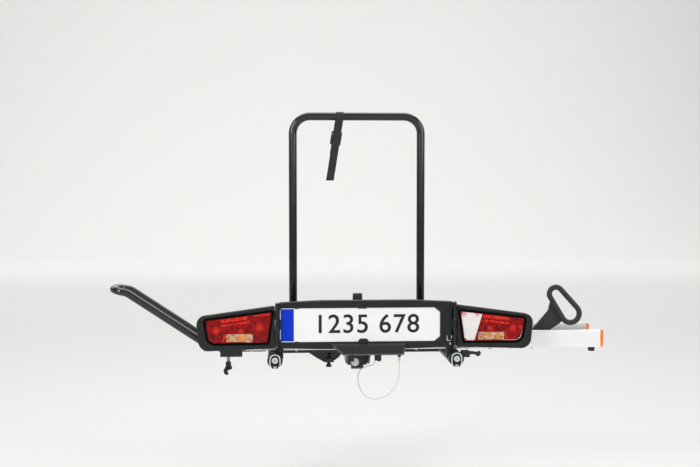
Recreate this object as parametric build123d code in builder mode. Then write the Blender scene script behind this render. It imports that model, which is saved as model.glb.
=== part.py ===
"""Towbar motorcycle carrier, in millimetres.

The origin is the centre of the tow ball. X runs across the car to the right as seen from behind it,
Y runs forwards to the car, and Z runs up.
"""
import math
import os

from build123d import *

os.makedirs("parts", exist_ok=True)

# Driving dimensions: tow ball, coupling and tilt hinge
ball_d = 50.0
ball_play = 0.15
head_w = 68.0
head_rear, head_front = -40.0, 44.0
head_low, head_high = -26.0, 44.0
side_plate_t = 8.0
hinge_y, hinge_z = -92.0, 40.0
tilt_pin_d = 16.0
bush_wall = 2.0
bush_flange_t = 2.0
hinge_block_side_gap = 6.0
jaw_w = 44.0
jaw_side_gap = 0.5
jaw_face_gap = 0.3
jaw_pin_y, jaw_pin_z, jaw_pin_d = -33.0, 24.0, 8.0
lever_pin_y, lever_pin_z, lever_pin_d = -30.0, 60.0, 10.0
lever_len = 150.0
lever_w, lever_t = 26.0, 10.0
fit_play = 0.05
pad_t = 2.0
pad_gap = 0.5

# Driving dimensions: tubes and beams
tube_d, tube_wall = 48.0, 2.5
tube_x = 295.0
tube_z = 58.0
tube_rear, tube_front = -428.0, -70.0
beam_w, beam_wall = 40.0, 3.0
front_beam_y = -140.0
rear_beam_y, rear_beam_w, rear_beam_h = -389.0, 30.0, 26.0
rear_beam_lift, saddle_w = 14.0, 24.0

# Driving dimensions: wheel channel
rail_left, rail_right = -390.0, 790.0
rail_rear, rail_w = -372.0, 180.0
rail_h, rail_floor, flange_t, flange_wall = 58.0, 4.0, 10.0, 2.0
groove_w, groove_deep = 1.6, 0.7
cap_len = 11.0
foot_d, foot_h = 22.0, 15.0
foot_x = 766.0
rail_bolt_y = 22.0
under_bolt_x = (-372, -225, 172, 420, 560)

# Driving dimensions: light board and number plate
board_half = 281.0
board_low, board_high = 94.0, 251.0
board_front, board_t, board_wall = -436.0, 28.0, 4.0
plate_w, plate_h, plate_t = 520.0, 110.0, 1.5
plate_x, plate_z = -19.0, 172.5
plate_deep = 4.5
plate_play = 0.5

# Driving dimensions: light wings
wing_hinge_gap, wing_hinge_y = 7.0, -441.0
wing_w_low, wing_w_high = 243.0, 253.0
wing_front, wing_t = -440.0, 26.0
wing_wall = 4.0
knuckle_d, wing_pin_d = 12.0, 6.0
back_shell_t = 12.0
lens_back_set, lens_t, lens_deep = 2.0, 2.5, 12.0
lens_gap = 0.4
gland_in, gland_z = 55.0, 150.0
bulb_spots = ((43, 160), (115, 133), (160, 165))
bulb_hole_r = 7.0

# Driving dimensions: front wheel bar
hoop_d, hoop_wall = 25.0, 2.5
hoop_gap_y = 110.0
hoop_play = 0.1
bar_floor_gap = 0.5
hoop_bend_r = 42.0
sleeve_left, sleeve_right = -475.0, -403.0
sleeve_wall = 4.5
bracket_right = -325.0
clamp_block_h = 18.0
stem_r = 5.0
screw_tip_gap = 0.3

# Driving dimensions: arch, rear wheel ring, small parts
arch_d, arch_wall = 28.0, 2.5
arch_left, arch_right, arch_top = -232.0, 214.0, 860.0
arch_bend_r = 60.0
socket_d, socket_top, socket_play = 36.0, 212.0, 0.1
knob_z, knob_stud_r, knob_tip_gap = 190.0, 4.0, 0.4
ring_d = 18.0
ring_y = -352.0
arm_t, arm_offset = 8.0, 3.5
lock_disc_edge, bail_wire_d = 1.0, 4.5
cable_d = 3.0
lever_pivot_side, lever_pivot_up, stud_r = 11.0, 19.0, 3.0
strap_w, strap_t, strap_gap = 27.0, 2.0, 0.3
strap_x, strap_lean = -69.0, 9.0
strap_rear_len, strap_front_len, buckle_drop = 222.0, 130.0, 75.0

# Sizes that follow from the driving dimensions
socket_r = ball_d / 2 + ball_play
tube_r = tube_d / 2
rail_low = tube_z + tube_r
rail_mid_y = rail_rear + rail_w / 2
rail_front = rail_rear + rail_w
floor_top = rail_low + rail_floor
rail_high = rail_low + rail_h
beam_low, beam_high = tube_z - beam_w / 2, tube_z + beam_w / 2
beam_rear, beam_front = front_beam_y - beam_w / 2, front_beam_y + beam_w / 2
rear_low, rear_high = rail_low + rear_beam_lift, rail_low + rear_beam_lift + rear_beam_h
tongue_low, tongue_high = beam_high + pad_t + pad_gap, beam_high + 20
hinge_block_half = head_w / 2 - hinge_block_side_gap
board_back = board_front + board_t
wing_hinge_x = board_half + wing_hinge_gap
wing_inner = wing_hinge_x + wing_hinge_gap
wing_back = wing_front + wing_t
hoop_z = floor_top + bar_floor_gap + hoop_d / 2
sleeve_w = hoop_d + 2 * sleeve_wall
lock_disc_r = tube_r + lock_disc_edge
lever_pivot_x, lever_pivot_z = tube_x + tube_r + lever_pivot_side, tube_z + lever_pivot_up
near_arm_y = rail_mid_y - hoop_gap_y / 2
far_arm_y = rail_mid_y + hoop_gap_y / 2


def save(piece, label):
    """Labels a finished piece and writes its file."""
    piece.part.label = label
    export_step(piece.part, f"parts/{label}.step")


def tube_along(points, radii, outer_d, wall=0.0):
    """A round bar or tube along straight runs with a bend at each inner corner."""
    with BuildPart() as bar:
        with BuildLine() as path:
            FilletPolyline(*points, radius=radii)
        start = path.line @ 0
        with BuildSketch(Plane(origin=start, z_dir=path.line % 0)):
            Circle(outer_d / 2)
            if wall:
                Circle(outer_d / 2 - wall, mode=Mode.SUBTRACT)
        sweep(path=path.line, transition=Transition.ROUND)
    return bar


def yz(x):
    """A sketch plane across the X axis, its own X along Y and its own Y along Z."""
    return Plane(origin=(x, 0, 0), x_dir=(0, 1, 0), z_dir=(1, 0, 0))


def xz(y):
    """A sketch plane seen from behind the carrier, its own X along X and its own Y along Z."""
    return Plane(origin=(0, y, 0), x_dir=(1, 0, 0), z_dir=(0, -1, 0))


# Coupling head with the ball socket, the jaw slot and the ears of the lever
ear_t, ear_gap, ear_r = 7.0, lever_w / 2 + 0.5, 12.0
slot_half = jaw_w / 2 + jaw_side_gap
with BuildPart() as head:
    with BuildSketch(Plane.XY.offset(head_low)):
        with Locations((0, (head_rear + head_front) / 2)):
            Rectangle(head_w, head_front - head_rear)
    extrude(amount=head_high - head_low)
    front_corners = head.edges().filter_by(Axis.Z).group_by(Axis.Y)[-1]
    fillet(front_corners, radius=22)
    with BuildSketch(yz(-ear_gap - ear_t)) as ear_side:
        with Locations((lever_pin_y, lever_pin_z)):
            Circle(ear_r)
        with Locations((lever_pin_y, (head_high + lever_pin_z) / 2)):
            Rectangle(2 * ear_r, lever_pin_z - head_high)
    extrude(amount=2 * (ear_gap + ear_t))
    with Locations((0, lever_pin_y, head_high + 20)):
        Box(2 * ear_gap, 4 * ear_r, 40, mode=Mode.SUBTRACT)
    Sphere(socket_r, mode=Mode.SUBTRACT)
    with BuildSketch(Plane.XY.offset(head_low)):
        Circle(socket_r)
    extrude(amount=-head_low, mode=Mode.SUBTRACT)
    with Locations((0, head_rear + 16, (head_low + jaw_pin_z + 12) / 2)):
        Box(2 * slot_half, 32 + 2, jaw_pin_z + 12 - head_low, mode=Mode.SUBTRACT)
    with Locations(Plane(origin=(0, jaw_pin_y, jaw_pin_z), z_dir=(1, 0, 0))):
        Cylinder(jaw_pin_d / 2 + fit_play, 2 * head_w, mode=Mode.SUBTRACT)
    with Locations(Plane(origin=(0, lever_pin_y, lever_pin_z), z_dir=(1, 0, 0))):
        Cylinder(lever_pin_d / 2 + fit_play, 2 * head_w, mode=Mode.SUBTRACT)
save(head, "coupling_head")


# Side plates that carry the tilt hinge and rest over the front beam
tongue_rear = beam_rear + 2
with BuildPart() as side_plates:
    for inner in (-head_w / 2 - side_plate_t, head_w / 2):
        with BuildSketch(yz(inner)):
            with BuildLine():
                Polyline(
                    (36, -18), (-60, -18), (hinge_y - 8, 12), (beam_front + 6, 30),
                    (beam_front + 6, tongue_low), (tongue_rear, tongue_low), (tongue_rear, tongue_high),
                    (hinge_y - 4, tongue_high), (-30, 38), (36, 38), close=True,
                )
            make_face()
            with Locations((hinge_y, hinge_z)):
                Circle(tilt_pin_d / 2 + fit_play, mode=Mode.SUBTRACT)
            with Locations((jaw_pin_y, jaw_pin_z)):
                Circle(jaw_pin_d / 2 + fit_play, mode=Mode.SUBTRACT)
        extrude(amount=side_plate_t)
    end_edges = side_plates.edges().filter_by(Axis.X).group_by(Axis.Y)
    fillet(end_edges[0] + end_edges[-1], radius=5)
save(side_plates, "coupling_side_plates")

# Pins of the coupling: a shank along X with a head on each side
outer_half = head_w / 2 + side_plate_t
pins = (
    (hinge_y, hinge_z, tilt_pin_d, outer_half, 26, 5),
    (jaw_pin_y, jaw_pin_z, jaw_pin_d, outer_half, 14, 4),
    (lever_pin_y, lever_pin_z, lever_pin_d, ear_gap + ear_t, 18, 4),
)
with BuildPart() as coupling_pins:
    for y, z, d, half, head_d, head_t in pins:
        with BuildSketch(yz(-half)):
            with Locations((y, z)):
                Circle(d / 2)
        extrude(amount=2 * half)
        for end in (-half - head_t, half):
            with BuildSketch(yz(end)):
                with Locations((y, z)):
                    Circle(head_d / 2)
            extrude(amount=head_t)
save(coupling_pins, "coupling_pins")

# Jaw that presses on the ball from behind
with BuildPart() as jaw:
    with BuildSketch(yz(-jaw_w / 2)):
        with Locations((jaw_pin_y, jaw_pin_z)):
            Circle(7)
        with BuildLine():
            Polyline((-40, 24), (-40, -34), (-30, -42), (-17, -42), (-16, -24), (-26, 24), close=True)
        make_face()
    extrude(amount=jaw_w)
    fillet(jaw.edges().filter_by(Axis.X).group_by(Axis.Z)[0], radius=6)
    Sphere(socket_r + jaw_face_gap, mode=Mode.SUBTRACT)
    with Locations(Plane(origin=(0, jaw_pin_y, jaw_pin_z), z_dir=(1, 0, 0))):
        Cylinder(jaw_pin_d / 2 + fit_play, 2 * jaw_w, mode=Mode.SUBTRACT)
save(jaw, "clamp_jaw")

# Hexagon bolt in the jaw, with its washer
jaw_bolt_x, jaw_bolt_z = -9.0, -15.0
with BuildPart() as jaw_bolt:
    with BuildSketch(xz(-40)):
        with Locations((jaw_bolt_x, jaw_bolt_z)):
            Circle(15)
    extrude(amount=2.5)
    with BuildSketch(xz(-42.5)):
        with Locations((jaw_bolt_x, jaw_bolt_z)):
            RegularPolygon(12, 6, major_radius=False)
    extrude(amount=9)
    chamfer(jaw_bolt.faces().sort_by(Axis.Y)[0].edges(), length=1)
save(jaw_bolt, "jaw_bolt")

# Clamp lever: a boss on the pin, a tapering flat bar and a plastic grip over its end
lever_top = lever_pin_z + lever_len
grip_len = 60.0
with BuildPart() as lever:
    with BuildSketch(yz(-lever_w / 2)):
        with Locations((lever_pin_y, lever_pin_z)):
            Circle(ear_r - 1.5)
        with BuildLine():
            Polyline(
                (lever_pin_y - 9, lever_pin_z), (lever_pin_y - 18, lever_top - 40),
                (lever_pin_y - 18, lever_top), (lever_pin_y - 18 + lever_t, lever_top),
                (lever_pin_y - 18 + lever_t, lever_top - 40), (lever_pin_y + 9, lever_pin_z), close=True,
            )
        make_face()
        with Locations((lever_pin_y, lever_pin_z)):
            Circle(lever_pin_d / 2 + fit_play, mode=Mode.SUBTRACT)
    extrude(amount=lever_w)
save(lever, "clamp_lever")

grip_y = lever_pin_y - 18 + lever_t / 2
with BuildPart() as grip:
    with BuildSketch(Plane.XY.offset(lever_top - 36)):
        with Locations((0, grip_y)):
            RectangleRounded(lever_w + 8, lever_t + 10, 7)
    extrude(amount=grip_len)
    fillet(grip.faces().sort_by(Axis.Z)[-1].edges(), radius=5)
    with Locations((0, grip_y, lever_top - 18)):
        Box(lever_w, lever_t, 36, mode=Mode.SUBTRACT)
save(grip, "clamp_lever_grip")


# Long tubes of the platform, with the lug and the stud of the side lever on the right one
def forwards(y):
    """A sketch plane that faces forwards, its own X running to the left."""
    return Plane(origin=(0, y, 0), x_dir=(-1, 0, 0), z_dir=(0, 1, 0))


with BuildPart() as tubes:
    with BuildSketch(forwards(tube_rear)):
        with Locations((tube_x, tube_z), (-tube_x, tube_z)):
            Circle(tube_r)
        with Locations((-lever_pivot_x + 3, lever_pivot_z - 5)):
            Rectangle(26, 20)
    extrude(amount=28)
    with BuildSketch(forwards(tube_rear)):
        with Locations((tube_x, tube_z), (-tube_x, tube_z)):
            Circle(tube_r)
    extrude(amount=tube_front - tube_rear)
    with BuildSketch(forwards(tube_rear)):
        with Locations((tube_x, tube_z), (-tube_x, tube_z)):
            Circle(tube_r - tube_wall)
    extrude(amount=tube_front - tube_rear, mode=Mode.SUBTRACT)
    with BuildSketch(xz(tube_rear)):
        with Locations((lever_pivot_x, lever_pivot_z)):
            Circle(stud_r)
    extrude(amount=10)
save(tubes, "frame_tubes")

cap_spigot = 14.0
with BuildPart() as tube_caps:
    for side in (-1, 1):
        with BuildSketch(forwards(tube_front - cap_spigot)):
            with Locations((-side * tube_x, tube_z)):
                Circle(tube_r - tube_wall - fit_play)
        extrude(amount=cap_spigot)
        with BuildSketch(forwards(tube_front)):
            with Locations((-side * tube_x, tube_z)):
                Circle(tube_r)
        extrude(amount=5)
    fillet(tube_caps.edges().filter_by(GeomType.CIRCLE).group_by(Axis.Y)[-1], radius=3)
save(tube_caps, "tube_caps")

# Front beam between the tubes, cut to their round, with the levelling bracket and an eye for the safety cable
rod_x, rod_z, rod_d, rod_play = 43.0, 56.0, 8.0, 0.1
eye_r, eye_drop = 6.0, 10.0
eye_front_x, eye_rear_x, eye_top, eye_tab_w = 56.0, 113.0, 70.0, 24.0
level_x, level_r = -108.0, 6.0
with BuildPart() as front_beam:
    with BuildSketch(yz(-tube_x)):
        with Locations((front_beam_y, tube_z)):
            RectangleRounded(beam_w, beam_w, 4)
            RectangleRounded(beam_w - 2 * beam_wall, beam_w - 2 * beam_wall, 1.5, mode=Mode.SUBTRACT)
    extrude(amount=2 * tube_x)
    with BuildSketch(forwards(beam_rear - 1)):
        with Locations((tube_x, tube_z), (-tube_x, tube_z)):
            Circle(tube_r)
    extrude(amount=beam_w + 2, mode=Mode.SUBTRACT)
    with BuildSketch(Plane.XY.offset(beam_low)):
        with Locations((eye_front_x, front_beam_y)):
            Circle(eye_r)
    extrude(amount=-eye_drop)
    with BuildSketch(xz(front_beam_y + 4)):
        with BuildLine():
            Polyline(
                (level_x - 72, beam_low), (level_x + 48, beam_low), (level_x + 36, 20), (level_x + 16, 6),
                (level_x - 18, 4), (level_x - 42, 18), close=True,
            )
        make_face()
    extrude(amount=8)
    with Locations((level_x, front_beam_y, 10)):
        Box(34, 30, 12)
    with BuildSketch(Plane.XY.offset(beam_low)):
        with Locations((level_x, front_beam_y)):
            Circle(level_r + fit_play)
    extrude(amount=-60, mode=Mode.SUBTRACT)
save(front_beam, "front_beam")

# Rear beam behind the light board, on two saddles cut to the round of the tubes, with the rear eye on a tab
rear_half = tube_x - 3
with BuildPart() as rear_beam:
    with BuildSketch(yz(-rear_half)):
        with Locations((rear_beam_y, (rear_low + rear_high) / 2)):
            RectangleRounded(rear_beam_w, rear_beam_h, 4)
            RectangleRounded(rear_beam_w - 2 * beam_wall, rear_beam_h - 2 * beam_wall, 1.5, mode=Mode.SUBTRACT)
    extrude(amount=2 * rear_half)
    for side in (-1, 1):
        with Locations((side * (rear_half - saddle_w / 2), rear_beam_y, (tube_z + rear_low) / 2)):
            Box(saddle_w, rear_beam_w - 8, rear_low - tube_z)
    with BuildSketch(forwards(rear_beam_y - rear_beam_w / 2 - 1)):
        with Locations((tube_x, tube_z), (-tube_x, tube_z)):
            Circle(tube_r)
    extrude(amount=rear_beam_w + 2, mode=Mode.SUBTRACT)
    with Locations((eye_rear_x, rear_beam_y, (eye_top + rear_low) / 2)):
        Box(eye_tab_w, 8, rear_low - eye_top)
    with BuildSketch(Plane.XY.offset(eye_top)):
        with Locations((eye_rear_x, rear_beam_y)):
            Circle(eye_r)
    extrude(amount=-eye_drop)
save(rear_beam, "rear_beam")

# Hinge block on the front beam, between the side plates, and its two flanged bushes
boss_r = tilt_pin_d / 2 + bush_wall + 6
with BuildPart() as hinge_block:
    with BuildSketch(yz(-hinge_block_half)):
        with Locations((hinge_y, hinge_z)):
            Circle(boss_r)
        with Locations(((hinge_y + beam_front) / 2, hinge_z + 6)):
            Rectangle(hinge_y - beam_front, 2 * boss_r - 6)
        with Locations((hinge_y, hinge_z)):
            Circle(tilt_pin_d / 2 + bush_wall, mode=Mode.SUBTRACT)
    extrude(amount=2 * hinge_block_half)
save(hinge_block, "hinge_block")

bush_len = 22.0
with BuildPart() as bushes:
    for side in (-1, 1):
        with BuildSketch(yz(side * hinge_block_half if side < 0 else hinge_block_half - bush_len)):
            with Locations((hinge_y, hinge_z)):
                Circle(tilt_pin_d / 2 + bush_wall)
                Circle(tilt_pin_d / 2 + fit_play, mode=Mode.SUBTRACT)
        extrude(amount=bush_len)
        with BuildSketch(yz(hinge_block_half if side > 0 else -hinge_block_half - bush_flange_t)):
            with Locations((hinge_y, hinge_z)):
                Circle(tilt_pin_d / 2 + bush_wall + 4)
                Circle(tilt_pin_d / 2 + fit_play, mode=Mode.SUBTRACT)
        extrude(amount=bush_flange_t)
save(bushes, "tilt_bushes")

# Wheel channel: floor, two hollow flanges and the grooves along their outer sides
with BuildPart() as rail:
    with BuildSketch(yz(rail_left)):
        with Locations((rail_mid_y, (rail_low + rail_high) / 2)):
            RectangleRounded(rail_w, rail_h, 2)
        with Locations((rail_mid_y, (floor_top + rail_high) / 2 + 1)):
            Rectangle(rail_w - 2 * flange_t, rail_high - floor_top + 2, mode=Mode.SUBTRACT)
        for side in (-1, 1):
            flange_mid = rail_mid_y + side * (rail_w - flange_t) / 2
            with Locations((flange_mid, (floor_top + rail_high) / 2)):
                RectangleRounded(
                    flange_t - 2 * flange_wall, rail_high - floor_top - 2 * flange_wall, 1.0, mode=Mode.SUBTRACT
                )
            for level in range(5):
                groove_z = rail_low + 10 + level * 9.5
                with Locations((rail_mid_y + side * rail_w / 2, groove_z)):
                    Rectangle(2 * groove_deep, groove_w, mode=Mode.SUBTRACT)
    extrude(amount=rail_right - rail_left)
    with Locations(Plane.XY.offset(rail_low)):
        for x in (-tube_x, tube_x):
            for y in (rail_mid_y - rail_bolt_y, rail_mid_y + rail_bolt_y):
                with Locations((x, y)):
                    Cylinder(4.2, 20, mode=Mode.SUBTRACT)
save(rail, "wheel_channel")

# Orange caps on the four flange ends, each with a tongue inside the hollow flange
cap_play = 0.1
with BuildPart() as caps:
    for end, direction in ((rail_left, -1), (rail_right, 1)):
        for side in (-1, 1):
            flange_mid = rail_mid_y + side * (rail_w - flange_t) / 2
            with BuildSketch(yz(end if direction > 0 else end - cap_len)):
                with Locations((flange_mid, (rail_low + rail_high) / 2)):
                    RectangleRounded(flange_t, rail_h - 2, 4)
            extrude(amount=cap_len)
            tongue_h = rail_high - floor_top - 2 * flange_wall - 2 * cap_play - 2
            with BuildSketch(yz(end - 14 if direction > 0 else end)):
                with Locations((flange_mid, (floor_top + rail_high) / 2)):
                    Rectangle(flange_t - 2 * flange_wall - 2 * cap_play, tongue_h)
            extrude(amount=14)
    fillet(caps.edges().filter_by(Axis.Y).group_by(Axis.X)[-1].group_by(Axis.Z)[-1], radius=4)
save(caps, "channel_end_caps")

# Rubber: feet under the right end of the channel, and stop pads under the tongues of the side plates
with BuildPart() as rubber:
    with BuildSketch(Plane.XY.offset(rail_low)):
        with Locations((foot_x, rail_rear + 22), (foot_x, rail_front - 22)):
            Circle(foot_d / 2)
    extrude(amount=-foot_h)
    fillet(rubber.faces().sort_by(Axis.Z)[:2].edges(), radius=2)
    with BuildSketch(Plane.XY.offset(beam_high)):
        pad_x = (head_w + side_plate_t) / 2
        with Locations((-pad_x, front_beam_y), (pad_x, front_beam_y)):
            Rectangle(side_plate_t + 6, beam_w - 10)
    extrude(amount=pad_t)
save(rubber, "rubber_pads")

# Bolts: round heads on the floor over the tubes, and zinc heads under the rear edge of the channel
with BuildPart() as rail_bolts:
    for x in (-tube_x, tube_x):
        for y in (rail_mid_y - rail_bolt_y, rail_mid_y + rail_bolt_y):
            with Locations((x, y, floor_top + 2)):
                Cylinder(8, 4)
            with Locations((x, y, (floor_top + rail_low) / 2)):
                Cylinder(4, rail_floor)
    fillet(rail_bolts.faces().sort_by(Axis.Z)[-4:].edges(), radius=1.5)
    with BuildSketch(Plane.XY.offset(rail_low)):
        for x in under_bolt_x:
            with Locations((x, rail_rear + 9)):
                RegularPolygon(5, 6)
    extrude(amount=-4)
save(rail_bolts, "channel_bolts")

# Clips that hold the plate: small tabs above and below, and two sloping corner pieces on the right
clip_t = 2.2
clip_back = board_front + plate_deep - plate_t
with BuildSketch() as clip_shapes:
    with Locations((plate_x + 6, plate_z + plate_h / 2 + 1)):
        Trapezoid(34, 7, 60, rotation=180)
    with Locations((plate_x + 10, plate_z - plate_h / 2 + 3)):
        Trapezoid(42, 14, 55)
    with Locations((plate_x - 205, plate_z + plate_h / 2 + 1)):
        Trapezoid(20, 6, 60, rotation=180)
    with Locations((plate_x - 205, plate_z - plate_h / 2 - 1)):
        Trapezoid(20, 6, 60)
    corner_x = plate_x + plate_w / 2
    for z_side in (-1, 1):
        corner_z = plate_z + z_side * plate_h / 2
        with BuildLine():
            Polyline(
                (corner_x + 3, corner_z + z_side * 3), (corner_x - 22, corner_z + z_side * 3),
                (corner_x - 16, corner_z - z_side * 3), (corner_x - 4, corner_z - z_side * 12),
                (corner_x + 3, corner_z - z_side * 20), close=True,
            )
        make_face()
with BuildPart() as clips:
    with BuildSketch(xz(clip_back)):
        add(clip_shapes.sketch)
    extrude(amount=clip_t)
save(clips, "plate_clips")

# Light board: a moulded frame, hollow from the front side of the car, with a recess for the number plate
knuckle_levels = ((104, 126), (158, 190), (222, 244))
wing_knuckle_levels = ((127, 157), (191, 221))
with BuildPart() as board:
    with BuildSketch(xz(board_back)):
        with BuildLine():
            Polyline(
                (-board_half, board_low + 4), (-150, board_low), (150, board_low), (board_half, board_low + 4),
                (board_half, board_high - 6), (150, board_high), (-150, board_high),
                (-board_half, board_high - 6), close=True,
            )
        make_face()
    extrude(amount=board_t)
    fillet(board.faces().sort_by(Axis.Y)[0].edges(), radius=3)
    with Locations((0, board_back - 8, (board_low + board_high) / 2)):
        Box(2 * (board_half - board_wall), 18, board_high - board_low - 20, mode=Mode.SUBTRACT)
    with Locations((plate_x, board_front + plate_deep / 2, plate_z)):
        Box(plate_w + 2 * plate_play, plate_deep, plate_h + 2 * plate_play, mode=Mode.SUBTRACT)
    with BuildSketch(xz(clip_back)):
        add(clip_shapes.sketch)
    extrude(amount=plate_deep, mode=Mode.SUBTRACT)
    for side in (-1, 1):
        for low, high in knuckle_levels:
            with BuildSketch(Plane.XY.offset(low)):
                with Locations((side * wing_hinge_x, wing_hinge_y)):
                    Circle(knuckle_d / 2)
                with Locations((side * (board_half + wing_hinge_x - 6) / 2, wing_hinge_y + 4)):
                    Rectangle(wing_hinge_x - board_half + 6, 4)
            extrude(amount=high - low)
            with BuildSketch(Plane.XY.offset(low)):
                with Locations((side * wing_hinge_x, wing_hinge_y)):
                    Circle(wing_pin_d / 2 + fit_play)
            extrude(amount=high - low, mode=Mode.SUBTRACT)
save(board, "light_board")

# Square posts that carry the light board above the rear beam
post_x, post_w = 250.0, 24.0
with BuildPart() as posts:
    for side in (-1, 1):
        with Locations((side * post_x, board_back + 6 + (post_w - 12) / 2, (rear_high + 222) / 2)):
            Box(30, post_w, 222 - rear_high)
        with Locations((side * post_x, board_back + 3, 180)):
            Box(46, 6, 60)
    fillet(posts.edges().filter_by(Axis.Z).group_by(Axis.Y)[-1], radius=4)
save(posts, "board_posts")

# Number plate
with BuildPart() as number_plate:
    with BuildSketch(xz(board_front + plate_deep)):
        with Locations((plate_x, plate_z)):
            RectangleRounded(plate_w, plate_h, 8)
    extrude(amount=plate_t)
save(number_plate, "number_plate")

# Light wings. Each outline is given for the right wing and mirrored for the left one.
def wing_outline(side, grow=0.0):
    """Outline of a wing in the XZ plane, as a closed list of corners."""
    corners = [
        (wing_inner - grow, 98.5 - grow), (wing_inner + wing_w_low + grow, 90 - grow),
        (wing_inner + wing_w_high + grow, 201 + grow), (wing_inner - grow, 235.5 + grow),
    ]
    return [(side * x, z) for x, z in corners]


def rounded_face(points, radii):
    """A closed face with its own rounding at each corner."""
    with BuildSketch(mode=Mode.PRIVATE) as face:
        with BuildLine():
            Polyline(*points, close=True)
        make_face()
        for point, r in zip(points, radii):
            if r:
                near = face.vertices().sort_by_distance((point[0], point[1], 0))[0]
                fillet(near, radius=r)
    return face.sketch


lens_outline = [
    (wing_inner + 7, 216), (wing_inner + 21, 118), (wing_inner + 213, 117), (wing_inner + 225, 189),
]
lens_radii = [3, 5, 24, 8]
window = (wing_inner + 71, wing_inner + 156, 121, 146)
divider_top_x, divider_low_x = wing_inner + 81, wing_inner + 59
bulb_places = [(wing_inner + inward, z) for inward, z in bulb_spots]


def mirrored(points, side):
    return [(side * x, z) for x, z in points]


def wing_frame(side):
    """Front frame of a wing: a deep rim round the lens opening, with its hinge knuckles."""
    radii = [6, 34, 28, 6]
    outline = wing_outline(side)
    inner_outline = wing_outline(side, -wing_wall)
    opening = offset(rounded_face(mirrored(lens_outline, side), lens_radii), 1.2)
    with BuildPart() as frame:
        with BuildSketch(xz(wing_back)):
            add(rounded_face(outline, radii))
        extrude(amount=wing_t)
        fillet(frame.faces().sort_by(Axis.Y)[0].edges(), radius=4)
        with BuildSketch(xz(wing_back)):
            add(rounded_face(inner_outline, [3, 30, 24, 3]))
        extrude(amount=wing_t - wing_wall, mode=Mode.SUBTRACT)
        with BuildSketch(xz(wing_back)):
            add(opening)
        extrude(amount=wing_t + 2, mode=Mode.SUBTRACT)
        for low, high in wing_knuckle_levels:
            with BuildSketch(Plane.XY.offset(low)):
                with Locations((side * wing_hinge_x, wing_hinge_y)):
                    Circle(knuckle_d / 2)
                with Locations((side * (wing_hinge_x + 6), wing_hinge_y + 4)):
                    Rectangle(8, 4)
            extrude(amount=high - low)
            with BuildSketch(Plane.XY.offset(low)):
                with Locations((side * wing_hinge_x, wing_hinge_y)):
                    Circle(wing_pin_d / 2 + fit_play)
            extrude(amount=high - low, mode=Mode.SUBTRACT)
    return frame


def back_shell(side):
    """Rear shell of a wing: a shallow pan with sloping sides and a moulded cable gland."""
    with BuildPart() as shell:
        for base, grow, depth in ((wing_back, 0.0, back_shell_t), (wing_back, -3.0, back_shell_t - 3)):
            with BuildSketch(forwards(base)):
                points = [(-x, z) for x, z in wing_outline(side, grow)]
                add(rounded_face(points, [6, 34, 28, 6]))
            extrude(amount=depth, taper=20, mode=Mode.ADD if grow == 0 else Mode.SUBTRACT)
        with BuildSketch(forwards(wing_back + back_shell_t)):
            with Locations((-side * (wing_inner + gland_in), gland_z)):
                Circle(9)
        extrude(amount=6)
        chamfer(shell.faces().sort_by(Axis.Y)[-1].edges(), length=2)
    return shell


def lens_shell(points, radii, holes=()):
    """A lens as a thin front with side walls, open at the back."""
    front = wing_front + lens_back_set
    face = rounded_face(points, radii)
    with BuildPart() as lens:
        with BuildSketch(xz(front + lens_deep)):
            add(face)
        extrude(amount=lens_deep)
        with BuildSketch(xz(front + lens_deep)):
            add(offset(face, -lens_t, kind=Kind.INTERSECTION))
        extrude(amount=lens_deep - lens_t, mode=Mode.SUBTRACT)
        for hole in holes:
            with BuildSketch(xz(front + lens_deep)):
                add(hole)
            extrude(amount=lens_deep, mode=Mode.SUBTRACT)
    return lens


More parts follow.
